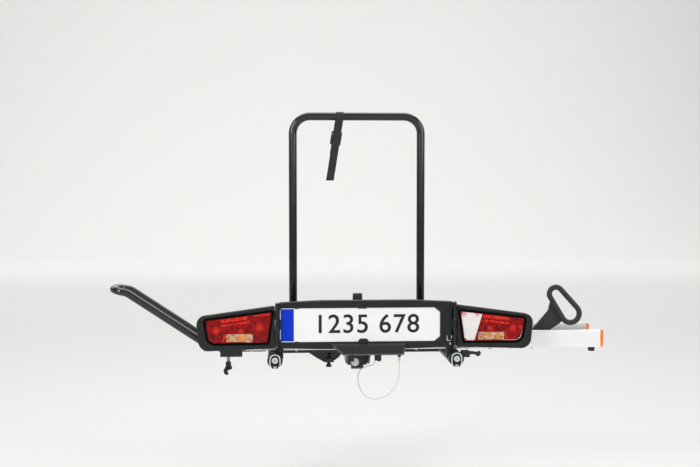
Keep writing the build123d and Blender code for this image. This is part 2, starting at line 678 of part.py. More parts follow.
for side, word in ((-1, "left"), (1, "right")):
    save(wing_frame(side), f"wing_frame_{word}")
    save(back_shell(side), f"wing_back_shell_{word}")
    x0, x1, z0, z1 = window
    top_left, low_left, low_right, top_right = lens_outline
    slope = (top_right[1] - top_left[1]) / (top_right[0] - top_left[0])
    split_top = (divider_top_x, top_left[1] + slope * (divider_top_x - top_left[0]))
    low_slope = (low_right[1] - low_left[1]) / (low_right[0] - low_left[0])
    split_low = (divider_low_x, low_left[1] + low_slope * (divider_low_x - low_left[0]))
    inner_points = mirrored(
        [top_left, low_left, (split_low[0] - lens_gap, split_low[1]), (split_top[0] - lens_gap, split_top[1])], side
    )
    main_points = mirrored([split_top, split_low, low_right, top_right], side)
    cut = Pos(side * (x0 + x1) / 2, (z0 + z1) / 2) * Rectangle(
        x1 - x0 + 2 * lens_gap, z1 - z0 + 2 * lens_gap, mode=Mode.PRIVATE
    )
    save(lens_shell(inner_points, [3, 5, 0, 0]), f"lens_inner_{word}")
    save(lens_shell(main_points, [0, 0, 24, 8], [cut]), f"lens_red_{word}")
    with BuildPart() as window_lens:
        with BuildSketch(xz(wing_front + lens_back_set + lens_deep)):
            with Locations((side * (x0 + x1) / 2, (z0 + z1) / 2)):
                Rectangle(x1 - x0, z1 - z0)
        extrude(amount=lens_deep)
        with Locations((side * (x0 + x1) / 2, wing_front + lens_back_set + lens_deep, (z0 + z1) / 2)):
            Box(x1 - x0 - 2 * lens_t, 2 * (lens_deep - lens_t), z1 - z0 - 2 * lens_t, mode=Mode.SUBTRACT)
    save(window_lens, f"lens_window_{word}")
    tray_y = wing_front + lens_back_set + lens_deep
    with BuildPart() as tray:
        with BuildSketch(xz(tray_y + 3)):
            add(offset(rounded_face(mirrored(lens_outline, side), lens_radii), 3, kind=Kind.INTERSECTION))
        extrude(amount=3)
        for x, z in bulb_places:
            with BuildSketch(xz(tray_y + 3)):
                with Locations((side * x, z)):
                    Circle(bulb_hole_r)
            extrude(amount=3, mode=Mode.SUBTRACT)
        for x, z in bulb_places:
            bulb_axis = Plane(origin=(side * x, tray_y + 6, z), z_dir=(0, -1, 0))
            with BuildSketch(bulb_axis):
                Circle(bulb_hole_r - 0.2)
            extrude(amount=6)
            with BuildSketch(bulb_axis.offset(6)):
                Circle(5)
            extrude(amount=6)
    save(tray, f"reflector_tray_{word}")

with BuildPart() as wing_pins:
    pin_low, pin_high = knuckle_levels[0][0] - 2, knuckle_levels[-1][1] + 1
    with BuildSketch(Plane.XY.offset(pin_low)):
        with Locations((-wing_hinge_x, wing_hinge_y), (wing_hinge_x, wing_hinge_y)):
            Circle(wing_pin_d / 2)
    extrude(amount=pin_high - pin_low)
    with BuildSketch(Plane.XY.offset(pin_high)):
        with Locations((-wing_hinge_x, wing_hinge_y), (wing_hinge_x, wing_hinge_y)):
            Circle(wing_pin_d / 2 + 2)
    extrude(amount=3)
save(wing_pins, "wing_pins")

# Lock plugs in the rear ends of the tubes, each with a D-shaped folding ring
plug_spigot, disc_t, hub_t = 30.0, 7.0, 9.0
plug_play = 0.1
bail_half, bail_low, bail_arc_z = 16.0, -19.0, 4.0
disc_rear = tube_rear - 1 - disc_t
bail_y = disc_rear - 5.5
for side, word in ((-1, "left"), (1, "right")):
    centre_x = side * tube_x
    with BuildPart() as plug:
        with BuildSketch(forwards(disc_rear)):
            with Locations((-centre_x, tube_z)):
                Circle(lock_disc_r)
        extrude(amount=disc_t)
        fillet(plug.edges().filter_by(GeomType.CIRCLE).group_by(Axis.Y)[0], radius=2)
        with BuildSketch(forwards(disc_rear + disc_t)):
            with Locations((-centre_x, tube_z)):
                Circle(tube_r - tube_wall - plug_play)
        extrude(amount=plug_spigot)
        with BuildSketch(xz(disc_rear)):
            with Locations((centre_x, tube_z + 2)):
                Circle(9)
        extrude(amount=hub_t)
        fillet(plug.faces().sort_by(Axis.Y)[0].edges(), radius=1.5)
        for ear in (-1, 1):
            with Locations((centre_x + ear * 8, bail_y + 0.5, tube_z + bail_low)):
                Box(5, 10, 9)
        with Locations(Plane(origin=(centre_x, bail_y, tube_z + bail_low), z_dir=(1, 0, 0))):
            Cylinder(bail_wire_d / 2 + plug_play, 40, mode=Mode.SUBTRACT)
    save(plug, f"lock_plug_{word}")
    with BuildPart() as bail:
        with BuildLine(xz(bail_y)) as d_path:
            low = tube_z + bail_low
            arc_z = tube_z + bail_arc_z
            r = 5.0
            Line((centre_x - bail_half + r, low), (centre_x + bail_half - r, low))
            RadiusArc((centre_x + bail_half - r, low), (centre_x + bail_half, low + r), -r)
            Line((centre_x + bail_half, low + r), (centre_x + bail_half, arc_z))
            ThreePointArc(
                (centre_x + bail_half, arc_z), (centre_x, arc_z + bail_half), (centre_x - bail_half, arc_z)
            )
            Line((centre_x - bail_half, arc_z), (centre_x - bail_half, low + r))
            RadiusArc((centre_x - bail_half, low + r), (centre_x - bail_half + r, low), -r)
        with BuildSketch(Plane(origin=(centre_x, bail_y, low), z_dir=(1, 0, 0))):
            Circle(bail_wire_d / 2)
        sweep(path=d_path.wire())
    save(bail, f"lock_ring_{word}")

# Small hooked lever beside the right tube, its outline given from its pivot
side_lever_outline = (
    (-7, -7), (-7, 7), (22, 5), (32, 3), (41, 7), (46, 1), (42, -9), (32, -12), (30, -7), (20, -4),
)
with BuildPart() as side_lever:
    with BuildSketch(xz(tube_rear - 1)):
        with BuildLine():
            Polyline(
                *((lever_pivot_x + along, lever_pivot_z + up) for along, up in side_lever_outline), close=True
            )
        make_face()
        with Locations((lever_pivot_x, lever_pivot_z)):
            Circle(stud_r + fit_play, mode=Mode.SUBTRACT)
    extrude(amount=6)
    fillet(side_lever.edges().filter_by(Axis.Y), radius=1.5)
save(side_lever, "side_lever")

# Bracket, sleeves and clamp block for the front wheel bar, at the left end of the channel
bracket_t, bracket_lip = 6.0, 1.0
bracket_low = rail_low - bracket_t
stem_x = sleeve_left + 26
with BuildPart() as hoop_bracket:
    with Locations(((sleeve_left - 5 + bracket_right) / 2, rail_mid_y, bracket_low + bracket_t / 2)):
        Box(bracket_right - sleeve_left + 5, hoop_gap_y + sleeve_w + 2 * bracket_lip, bracket_t)
    fillet(hoop_bracket.edges().filter_by(Axis.Z).group_by(Axis.X)[0], radius=10)
    with BuildSketch(yz(sleeve_left)):
        for y in (near_arm_y, far_arm_y):
            with Locations((y, hoop_z)):
                RectangleRounded(sleeve_w, sleeve_w, 5)
        with Locations((near_arm_y, bracket_low - clamp_block_h / 2)):
            RectangleRounded(30, clamp_block_h, 4)
        with Locations((near_arm_y, bracket_low - 2)):
            Rectangle(30, 4)
    extrude(amount=sleeve_right - sleeve_left)
    with BuildSketch(yz(sleeve_left)):
        with Locations((near_arm_y, hoop_z), (far_arm_y, hoop_z)):
            Circle(hoop_d / 2 + hoop_play)
    extrude(amount=sleeve_right - sleeve_left, mode=Mode.SUBTRACT)
    with BuildSketch(Plane(origin=(stem_x, near_arm_y, hoop_z))):
        Circle(stem_r + hoop_play)
    extrude(amount=-60, mode=Mode.SUBTRACT)
save(hoop_bracket, "hoop_bracket")

# Clamp screw: threaded stem up to the bar, and a hooked handle below
stem_top = hoop_z - hoop_d / 2 - screw_tip_gap
with BuildPart() as screw:
    with BuildSketch(Plane(origin=(stem_x, near_arm_y, stem_top))):
        Circle(stem_r)
    extrude(amount=-(stem_top - 34))
    with BuildSketch(Plane(origin=(stem_x, near_arm_y, 40))):
        Circle(9)
    extrude(amount=-16)
    with BuildSketch(xz(near_arm_y + 5)):
        with BuildLine():
            Polyline(
                (stem_x - 9, 26), (stem_x - 16, 12), (stem_x - 14, 2), (stem_x - 5, -4), (stem_x + 1, 1),
                (stem_x - 4, 8), (stem_x + 2, 14), (stem_x + 12, 16), (stem_x + 12, 26), close=True,
            )
        make_face()
    extrude(amount=10)
save(screw, "hoop_clamp_screw")

# Front wheel bar: a round tube bent up and round the wheel
arm_in = -265.0
slope_low = (-521.0, hoop_z)
slope_high = (-779.0, 271.0)
bar_end = (-826.0, 280.0)
hoop_points = [
    (arm_in, near_arm_y, hoop_z), (slope_low[0], near_arm_y, hoop_z), (slope_high[0], near_arm_y, slope_high[1]),
    (bar_end[0], near_arm_y, bar_end[1]), (bar_end[0], far_arm_y, bar_end[1]),
    (slope_high[0], far_arm_y, slope_high[1]), (slope_low[0], far_arm_y, hoop_z), (arm_in, far_arm_y, hoop_z),
]
crossbar_r = 38.0
hoop = tube_along(
    hoop_points, [hoop_bend_r, hoop_bend_r, crossbar_r, crossbar_r, hoop_bend_r, hoop_bend_r], hoop_d, hoop_wall
)
save(hoop, "front_wheel_bar")
with BuildPart() as hoop_plugs:
    with BuildSketch(yz(arm_in - 10)):
        for y in (near_arm_y, far_arm_y):
            with Locations((y, hoop_z)):
                Circle(hoop_d / 2 - hoop_wall - fit_play)
    extrude(amount=10)
    with BuildSketch(yz(arm_in)):
        for y in (near_arm_y, far_arm_y):
            with Locations((y, hoop_z)):
                Circle(hoop_d / 2)
    extrude(amount=3)
save(hoop_plugs, "bar_end_plugs")

# Rear wheel ring: bracket in the channel, swinging arm and closed ring of round bar
ring_pivot_x, ring_pivot_z = 560.0, floor_top + 27.0
flange_inner = rail_rear + flange_t
with BuildPart() as ring_bracket:
    with Locations((ring_pivot_x, (flange_inner + 1 + ring_y + 30) / 2, floor_top + 2.5)):
        Box(70, ring_y + 30 - flange_inner - 1, 5)
    with BuildSketch(xz(ring_y + 20)):
        with BuildLine():
            Polyline(
                (ring_pivot_x - 28, floor_top), (ring_pivot_x + 28, floor_top),
                (ring_pivot_x + 13, ring_pivot_z + 8), (ring_pivot_x - 13, ring_pivot_z + 8), close=True,
            )
        make_face()
        with Locations((ring_pivot_x, ring_pivot_z)):
            Circle(5 + fit_play, mode=Mode.SUBTRACT)
    extrude(amount=8)
save(ring_bracket, "ring_bracket")
with BuildPart() as ring_bolt:
    bolt_axis = Plane(origin=(ring_pivot_x, ring_y + 25, ring_pivot_z), z_dir=(0, -1, 0))
    with BuildSketch(bolt_axis):
        RegularPolygon(9, 6)
    extrude(amount=5)
    with BuildSketch(bolt_axis.offset(5)):
        Circle(5)
    extrude(amount=25)
save(ring_bolt, "ring_pivot_bolt")
with BuildPart() as ring_arm:
    with BuildSketch(xz(ring_y + arm_offset + arm_t)) as ring_arm_face:
        with BuildLine():
            Polyline(
                (ring_pivot_x - 12, ring_pivot_z + 9), (ring_pivot_x + 9, ring_pivot_z - 12),
                (ring_pivot_x + 50, ring_pivot_z + 16), (ring_pivot_x + 94, ring_pivot_z + 44),
                (ring_pivot_x + 108, ring_pivot_z + 56), (ring_pivot_x + 80, ring_pivot_z + 108),
                (ring_pivot_x + 66, ring_pivot_z + 122), (ring_pivot_x + 58, ring_pivot_z + 90), close=True,
            )
        make_face()
        fillet(ring_arm_face.vertices(), radius=4)
        with Locations((ring_pivot_x, ring_pivot_z)):
            Circle(15)
            Circle(5 + fit_play, mode=Mode.SUBTRACT)
    extrude(amount=arm_t)
save(ring_arm, "ring_arm")
ring_low, ring_low_r = (693.0, 193.0), 30.0
ring_top, ring_top_r = (643.0, 260.0), 22.0
ring_axis = math.atan2(ring_top[1] - ring_low[1], ring_top[0] - ring_low[0])
ring_span = math.hypot(ring_top[0] - ring_low[0], ring_top[1] - ring_low[1])
ring_turn = math.acos((ring_low_r - ring_top_r) / ring_span)


def ring_point(centre, r, angle):
    return (centre[0] + r * math.cos(angle), centre[1] + r * math.sin(angle))


with BuildPart() as ring:
    with BuildLine(xz(ring_y)) as ring_path:
        right_low = ring_point(ring_low, ring_low_r, ring_axis - ring_turn)
        right_top = ring_point(ring_top, ring_top_r, ring_axis - ring_turn)
        left_low = ring_point(ring_low, ring_low_r, ring_axis + ring_turn)
        left_top = ring_point(ring_top, ring_top_r, ring_axis + ring_turn)
        Line(right_low, right_top)
        ThreePointArc(right_top, ring_point(ring_top, ring_top_r, ring_axis), left_top)
        Line(left_top, left_low)
        ThreePointArc(left_low, ring_point(ring_low, ring_low_r, ring_axis + math.pi), right_low)
    ring_wire = ring_path.wire()
    with BuildSketch(Plane(origin=ring_wire @ 0, z_dir=ring_wire % 0)):
        Circle(ring_d / 2)
    sweep(path=ring_wire)
    with Locations((660, ring_y + arm_offset + arm_t / 2, 200)):
        Box(400, arm_t, 400, mode=Mode.SUBTRACT)
save(ring, "rear_wheel_ring")

# Arch: sockets on the front beam, bent tube, clamp knobs, strap and buckle
with BuildPart() as sockets:
    for x in (arch_left, arch_right):
        with BuildSketch(Plane.XY.offset(beam_high)):
            with Locations((x, front_beam_y)):
                RectangleRounded(52, beam_w - 4, 4)
        extrude(amount=5)
        with BuildSketch(Plane.XY.offset(beam_high)):
            with Locations((x, front_beam_y)):
                Circle(socket_d / 2)
        extrude(amount=socket_top - beam_high)
        with BuildSketch(Plane.XY.offset(beam_high + 5)):
            with Locations((x, front_beam_y)):
                Circle(arch_d / 2 + socket_play)
        extrude(amount=socket_top - beam_high, mode=Mode.SUBTRACT)
        outward = -1 if x < 0 else 1
        with Locations(Plane(origin=(x + outward * socket_d / 2, front_beam_y, knob_z), z_dir=(outward, 0, 0))):
            Cylinder(2 * knob_stud_r, 12)
            Cylinder(knob_stud_r + fit_play, 30, mode=Mode.SUBTRACT)
        with BuildSketch(Plane.XY.offset(beam_high + 5)):
            with Locations((x, front_beam_y)):
                Circle(arch_d / 2 + socket_play)
        extrude(amount=socket_top - beam_high, mode=Mode.SUBTRACT)
save(sockets, "arch_sockets")
leg_low = beam_high + 8
arch = tube_along(
    [
        (arch_left, front_beam_y, leg_low), (arch_left, front_beam_y, arch_top),
        (arch_right, front_beam_y, arch_top), (arch_right, front_beam_y, leg_low),
    ],
    [arch_bend_r, arch_bend_r], arch_d, arch_wall,
)
save(arch, "support_arch")
for x, word in ((arch_left, "left"), (arch_right, "right")):
    outward = -1 if x < 0 else 1
    tip = x + outward * (arch_d / 2 + knob_tip_gap)
    knob_axis = Plane(origin=(tip, front_beam_y, knob_z), x_dir=(0, 1, 0), z_dir=(outward, 0, 0))
    with BuildPart() as knob:
        with BuildSketch(knob_axis):
            Circle(knob_stud_r)
        extrude(amount=16)
        with BuildSketch(knob_axis.offset(14)):
            Circle(14)
            with PolarLocations(14, 6):
                Circle(5)
        extrude(amount=14)
        fillet(knob.faces().sort_by(Axis.X)[0 if outward < 0 else -1].edges(), radius=1.5)
    save(knob, f"arch_knob_{word}")

strap_in = arch_d / 2 + strap_gap
strap_out = strap_in + strap_t
lean_slope = math.tan(math.radians(strap_lean))
with BuildPart() as strap:
    with BuildSketch(yz(strap_x - strap_w / 2)):
        with Locations((front_beam_y, arch_top)):
            Circle(strap_out)
            Circle(strap_in, mode=Mode.SUBTRACT)
        with Locations((front_beam_y, arch_top - strap_out)):
            Rectangle(2 * strap_out, 2 * strap_out, mode=Mode.SUBTRACT)
    extrude(amount=strap_w)
    for run_back, run_len in ((-strap_in, strap_rear_len), (strap_out, strap_front_len)):
        aside, low = run_len * lean_slope, arch_top - run_len
        with BuildSketch(xz(front_beam_y + run_back)):
            with BuildLine():
                Polyline(
                    (strap_x - strap_w / 2, arch_top), (strap_x + strap_w / 2, arch_top),
                    (strap_x + strap_w / 2 - aside, low), (strap_x - strap_w / 2 - aside, low), close=True,
                )
            make_face()
        extrude(amount=strap_t)
save(strap, "strap_webbing")
buckle_t, buckle_h = 10.0, 46.0
with BuildPart() as buckle:
    buckle_place = (
        strap_x - buckle_drop * lean_slope, front_beam_y + strap_out + buckle_t / 2, arch_top - buckle_drop
    )
    with Locations(buckle_place):
        Box(strap_w + 10, buckle_t, buckle_h, rotation=(0, strap_lean, 0))
    fillet(buckle.faces().sort_by(Axis.Y)[-1].edges(), radius=3)
save(buckle, "strap_buckle")

# Foot pedal: middle cover with two arms, bracket under the rear beam, release rod, guides and tilt pawl
pedal_y, pedal_z, pedal_pin_r = -416.0, 84.0, 4.0
cover_front, cover_t, cover_deep, cover_slope = -452.0, 3.0, 14.0, 27.0
cover_outline = [(-123, 113), (132, 113), (123, 73), (-75, 73)]
rod_tip_gap = 1.5
pedal_arm_x, pedal_arm_w = 43.0, 10.0
with BuildPart() as pedal:
    with BuildSketch(xz(cover_front + cover_deep)):
        with BuildLine():
            Polyline(*cover_outline, close=True)
        make_face()
    extrude(amount=cover_deep, taper=cover_slope)
    fillet(pedal.faces().sort_by(Axis.Y)[0].edges(), radius=1.5)
    with BuildSketch(xz(cover_front + cover_deep)):
        with BuildLine():
            Polyline(*cover_outline, close=True)
        make_face()
        offset(amount=-cover_t, kind=Kind.INTERSECTION, mode=Mode.REPLACE)
    extrude(amount=cover_deep - cover_t, taper=cover_slope, mode=Mode.SUBTRACT)
    for side in (-1, 1):
        arm_left = side * pedal_arm_x - pedal_arm_w / 2
        with BuildSketch(yz(arm_left)):
            with Locations(((cover_front + cover_t + pedal_y) / 2, pedal_z)):
                Rectangle(pedal_y - cover_front - cover_t, 10)
            with Locations((pedal_y, pedal_z)):
                Circle(8)
            with Locations((pedal_y, (pedal_z + rod_z) / 2)):
                Rectangle(8, pedal_z - rod_z + 12)
            with Locations((pedal_y, pedal_z)):
                Circle(pedal_pin_r + fit_play, mode=Mode.SUBTRACT)
        extrude(amount=pedal_arm_w)
save(pedal, "pedal_cover")
pawl_y, pawl_z = -170.0, 78.0
tail_rear = pawl_y - 4
with BuildPart() as rod:
    with BuildSketch(forwards(pedal_y + 4 + rod_tip_gap)):
        with Locations((-rod_x, rod_z)):
            Circle(rod_d / 2)
    extrude(amount=tail_rear - pedal_y - 4 - 2 * rod_tip_gap)
    with BuildSketch(forwards(rear_beam_y + rear_beam_w / 2 + 12)):
        with Locations((-rod_x, rod_z)):
            Circle(rod_d / 2 + 4)
    extrude(amount=4)
save(rod, "release_rod")
pawl_x, pawl_t = 38.0, 10.0
nose_y = tongue_rear - 0.6
with BuildPart() as pawl:
    with BuildSketch(yz(pawl_x)):
        with BuildLine():
            Polyline(
                (pawl_y - 4, rod_z - 6), (pawl_y + 1, rod_z - 6), (pawl_y + 5, tongue_high + 0.5),
                (nose_y, tongue_high + 0.5), (nose_y, tongue_high + 7), (pawl_y - 5, tongue_high + 7), close=True,
            )
        make_face()
        with Locations((pawl_y, pawl_z)):
            Circle(7)
            Circle(3.5 + fit_play, mode=Mode.SUBTRACT)
    extrude(amount=pawl_t)
save(pawl, "tilt_pawl")
# Brackets of the release gear: two ears of the pedal with its pin, two guides of the rod, the ears of the pawl
guide_y, rear_guide_y = -222.0, -382.0
ear_half = pedal_arm_x + pedal_arm_w / 2 + 1
with BuildPart() as brackets:
    for side in (-1, 1):
        with BuildSketch(yz(side * (ear_half + 2.5) - 2.5)):
            with BuildLine():
                Polyline(
                    (-380, rear_low), (-402, rear_low), (-410, 91), (-422, 91), (-424, 80), (-418, 74), (-400, 76),
                    close=True,
                )
            make_face()
        extrude(amount=5)
    with BuildSketch(yz(-ear_half)):
        with Locations((pedal_y, pedal_z)):
            Circle(pedal_pin_r)
    extrude(amount=2 * ear_half)
    for y, top in ((guide_y, rail_low), (rear_guide_y, rear_low)):
        with Locations((rod_x, y, (top + rod_z - 9) / 2)):
            Box(22, 8, top - rod_z + 9)
        with BuildSketch(forwards(y - 5)):
            with Locations((-rod_x, rod_z)):
                Circle(rod_d / 2 + rod_play)
        extrude(amount=10, mode=Mode.SUBTRACT)
    for x in (pawl_x - 5, pawl_x + pawl_t + 1):
        with BuildSketch(yz(x)):
            with BuildLine():
                Polyline((beam_rear, 52), (beam_rear, 90), (pawl_y - 6, 90), (pawl_y - 6, 66), close=True)
            make_face()
        extrude(amount=4)
    with BuildSketch(yz(pawl_x - 3)):
        with Locations((pawl_y, pawl_z)):
            Circle(3.5)
    extrude(amount=pawl_t + 6)
save(brackets, "release_brackets")

# Levelling screw in the bracket under the front beam
with BuildPart() as level_screw:
    with BuildSketch(Plane(origin=(level_x, front_beam_y, beam_low - 1))):
        Circle(level_r)
    extrude(amount=-(beam_low - 1 + 6))
    with BuildSketch(Plane(origin=(level_x, front_beam_y, -6))):
        RegularPolygon(10, 6)
    extrude(amount=-8)
save(level_screw, "levelling_screw")

# Safety cable, coated white, that hangs between the eyes of the two beams
cable_points = [
    (eye_rear_x, rear_beam_y, eye_top - eye_drop), (eye_rear_x, rear_beam_y, 2), (107, -386, -26),
    (93, -374, -56), (68, -356, -80), (38, -335, -93), (8, -310, -88), (-12, -281, -62), (-16, -252, -32),
    (-4, -221, -10), (20, -190, -6), (47, -160, -6), (eye_front_x, front_beam_y, 6),
    (eye_front_x, front_beam_y, beam_low - eye_drop),
]


def cord_radii(points):
    """Bend radius at each inner point: 0.45 of the shorter run over the tangent of half the turn."""
    vectors = [Vector(*p) for p in points]
    radii = []
    for before, here, after in zip(vectors, vectors[1:], vectors[2:]):
        first, second = here - before, after - here
        turn = math.radians(first.get_angle(second))
        radii.append(0.45 * min(first.length, second.length) / math.tan(turn / 2))
    return radii


cable_radii = cord_radii(cable_points)
print("safety cable radii", [round(r, 1) for r in cable_radii])
cable = tube_along(cable_points, cable_radii, cable_d)
runs = sum((Vector(*b) - Vector(*a)).length for a, b in zip(cable_points, cable_points[1:]))
cable_len = cable.part.volume / (math.pi * cable_d**2 / 4)
print("safety cable runs", round(runs, 1), "length from volume", round(cable_len, 1))
save(cable, "safety_cable")
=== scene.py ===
"""Looks of the towbar carrier. Sizes are in millimetres where nothing else is said."""
import math

import bmesh
import bpy
from mathutils import Matrix, Vector


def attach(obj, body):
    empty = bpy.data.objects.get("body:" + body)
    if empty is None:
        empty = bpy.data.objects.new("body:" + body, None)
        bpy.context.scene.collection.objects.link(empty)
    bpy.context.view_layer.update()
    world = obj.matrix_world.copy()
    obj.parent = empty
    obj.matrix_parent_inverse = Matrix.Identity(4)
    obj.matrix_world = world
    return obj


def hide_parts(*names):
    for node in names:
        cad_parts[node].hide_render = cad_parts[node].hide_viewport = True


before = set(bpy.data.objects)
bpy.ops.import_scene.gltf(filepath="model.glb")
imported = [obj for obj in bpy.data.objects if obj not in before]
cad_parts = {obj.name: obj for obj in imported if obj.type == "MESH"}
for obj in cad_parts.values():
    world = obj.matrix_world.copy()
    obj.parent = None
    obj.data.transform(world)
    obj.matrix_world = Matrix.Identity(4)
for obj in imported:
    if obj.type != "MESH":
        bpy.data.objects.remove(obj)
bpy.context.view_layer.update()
MM = 0.001
SIDES = ((-1, "left"), (1, "right"))
REARWARD = (0, -1, 0)


def new_object(name, data):
    """A new object of the scene, made from its data."""
    made = bpy.data.objects.new(name, data)
    bpy.context.scene.collection.objects.link(made)
    return made


# Camera almost straight behind the carrier, three quarters of the way up the arch: metres and degrees
CAMERA_PLACE = (-0.284, -3.931, 0.644)
CAMERA_DOWN, CAMERA_RIGHT = 2.873, 3.784
camera = new_object("camera", bpy.data.cameras.new("camera"))
camera.location = CAMERA_PLACE
camera.rotation_euler = (math.radians(90 - CAMERA_DOWN), 0, math.radians(-CAMERA_RIGHT))
camera.data.lens = 56.06
camera.data.sensor_width = 36.0
bpy.context.scene.camera = camera

# Safety cable: a thin coated wire rope that hangs in a loop between the eyes of the two beams
CABLE_D = 3.0
CABLE_ROUTE = (
    (113, -389, 60), (113, -389, 2), (107, -386, -26), (93, -374, -56), (68, -356, -80), (38, -335, -93),
    (8, -310, -88), (-12, -281, -62), (-16, -252, -32), (-4, -221, -10), (20, -190, -6), (47, -160, -6),
    (56, -140, 6), (56, -140, 28),
)


def round_curve(name, kind, points, r, fineness):
    """A round bar along a curve, and the curve's run of points."""
    line = bpy.data.curves.new(name, "CURVE")
    line.dimensions = "3D"
    run = line.splines.new(kind)
    run.points.add(len(points) - 1)
    for point, place in zip(run.points, points):
        point.co = (*(v * MM for v in place), 1)
    line.bevel_depth = r * MM
    line.bevel_resolution = fineness
    line.use_fill_caps = True
    return new_object(name, line), run


wire_rope, route = round_curve("wire_rope", "NURBS", CABLE_ROUTE, CABLE_D / 2, 4)
route.order_u = 3
route.use_endpoint_u = True
route.resolution_u = 14


# Bench tools: adding, opening, shaping and closing a piece
def pick_only(piece):
    """Makes one piece the only selected and active one."""
    bpy.ops.object.select_all(action="DESELECT")
    piece.select_set(True)
    bpy.context.view_layer.objects.active = piece


def name_piece(name):
    """Names the active piece and puts its place in its mesh."""
    piece = bpy.context.object
    piece.name = piece.data.name = name
    pick_only(piece)
    bpy.ops.object.transform_apply(location=True, rotation=True, scale=True)
    return piece


def block(name, low, high):
    """A block between two corners."""
    bpy.ops.object.select_all(action="DESELECT")
    middle = [(a + b) / 2 * MM for a, b in zip(low, high)]
    bpy.ops.mesh.primitive_cube_add(size=1, location=middle)
    bpy.context.object.scale = [(b - a) * MM for a, b in zip(low, high)]
    return name_piece(name)


def bar(name, start, end, r, sides=32):
    """A round or many-sided bar between two points."""
    a, b = Vector(start) * MM, Vector(end) * MM
    bpy.ops.object.select_all(action="DESELECT")
    bpy.ops.mesh.primitive_cylinder_add(
        vertices=sides, radius=r * MM, depth=(b - a).length, location=(a + b) / 2,
        rotation=(b - a).to_track_quat("Z", "Y").to_euler(),
    )
    return name_piece(name)


def ball(name, centre, r, rings=12, stretch=(1, 1, 1)):
    """A ball that may be stretched along the axes."""
    bpy.ops.object.select_all(action="DESELECT")
    bpy.ops.mesh.primitive_uv_sphere_add(
        segments=2 * rings, ring_count=rings, radius=r * MM, location=Vector(centre) * MM
    )
    bpy.context.object.scale = stretch
    return name_piece(name)


def open_piece(piece, kind, test):
    """Opens a piece for editing with only what passes the test selected.

    A face is tested by its middle and normal, an edge by its two ends and a corner by its place, all in
    millimetres.
    """
    pick_only(piece)
    bpy.ops.object.mode_set(mode="EDIT")
    bpy.ops.mesh.select_mode(type=kind)
    bpy.ops.mesh.select_all(action="DESELECT")
    shape = bmesh.from_edit_mesh(piece.data)
    if kind == "FACE":
        chosen = [f for f in shape.faces if test(f.calc_center_median() / MM, f.normal)]
    elif kind == "EDGE":
        chosen = [e for e in shape.edges if test(*(v.co / MM for v in e.verts))]
    else:
        chosen = [v for v in shape.verts if test(v.co / MM)]
    for part in chosen:
        part.select_set(True)
    shape.select_flush_mode()
    bmesh.update_edit_mesh(piece.data)


def push(value):
    """Extrudes what is selected by a vector."""
    bpy.ops.mesh.extrude_region_move(TRANSFORM_OT_translate={"value": [v * MM for v in value]})


def inset(width, depth=0.0):
    """Draws the selected faces in by a width and a depth."""
    bpy.ops.mesh.inset(thickness=width * MM, depth=depth * MM)


def step_side(piece, way, steps):
    """Steps one side's faces: each step draws them in by a width and moves them along the way by a height."""
    open_piece(piece, "FACE", lambda middle, normal: normal.dot(Vector(way)) > 0.9)
    for width, height in steps:
        inset(width)
        push([v * height for v in way])
    bpy.ops.object.mode_set(mode="OBJECT")


def apply_modifier(piece, kind, **settings):
    """Adds a modifier with its settings and applies it."""
    pick_only(piece)
    modifier = piece.modifiers.new(kind.lower(), kind)
    for key, value in settings.items():
        setattr(modifier, key, value)
    bpy.ops.object.modifier_apply(modifier=modifier.name)


def repeat(piece, count, step):
    """Repeats a piece in a row, one step apart."""
    apply_modifier(
        piece, "ARRAY", count=count, use_relative_offset=False, use_constant_offset=True,
        constant_offset_displace=[v * MM for v in step],
    )
    return piece


def close_piece(piece, edge=0.0, steps=2, smooth=38):
    """Closes a piece: faces outwards, edges rounded, smooth where it is not sharp."""
    if bpy.context.mode == "EDIT_MESH":
        bpy.ops.object.mode_set(mode="OBJECT")
    pick_only(piece)
    bpy.ops.object.mode_set(mode="EDIT")
    bpy.ops.mesh.select_all(action="SELECT")
    bpy.ops.mesh.remove_doubles(threshold=0.01 * MM)
    bpy.ops.mesh.normals_make_consistent(inside=False)
    bpy.ops.object.mode_set(mode="OBJECT")
    if edge:
        apply_modifier(
            piece, "BEVEL", width=edge * MM, segments=steps, limit_method="ANGLE",
            angle_limit=math.radians(35), harden_normals=False,
        )
    pick_only(piece)
    bpy.ops.object.shade_smooth_by_angle(angle=math.radians(smooth))
    return piece


def together(name, pieces):
    """Joins pieces into one."""
    bpy.ops.object.select_all(action="DESELECT")
    for piece in pieces:
        piece.select_set(True)
    bpy.context.view_layer.objects.active = pieces[0]
    if len(pieces) > 1:
        bpy.ops.object.join()
    return name_piece(name)


def twin(piece, name):
    """A copy of a piece on the other side of the carrier."""
    pick_only(piece)
    bpy.ops.object.duplicate()
    bpy.context.object.scale.x = -1
    other = name_piece(name)
    open_piece(other, "FACE", lambda middle, normal: True)
    bpy.ops.mesh.normals_make_consistent(inside=False)
    bpy.ops.object.mode_set(mode="OBJECT")
    return other


def cut(piece, tool):
    """Cuts a tool's shape out of a piece and removes the tool."""
    apply_modifier(piece, "BOOLEAN", operation="DIFFERENCE", object=tool, solver="EXACT")
    bpy.data.objects.remove(tool)


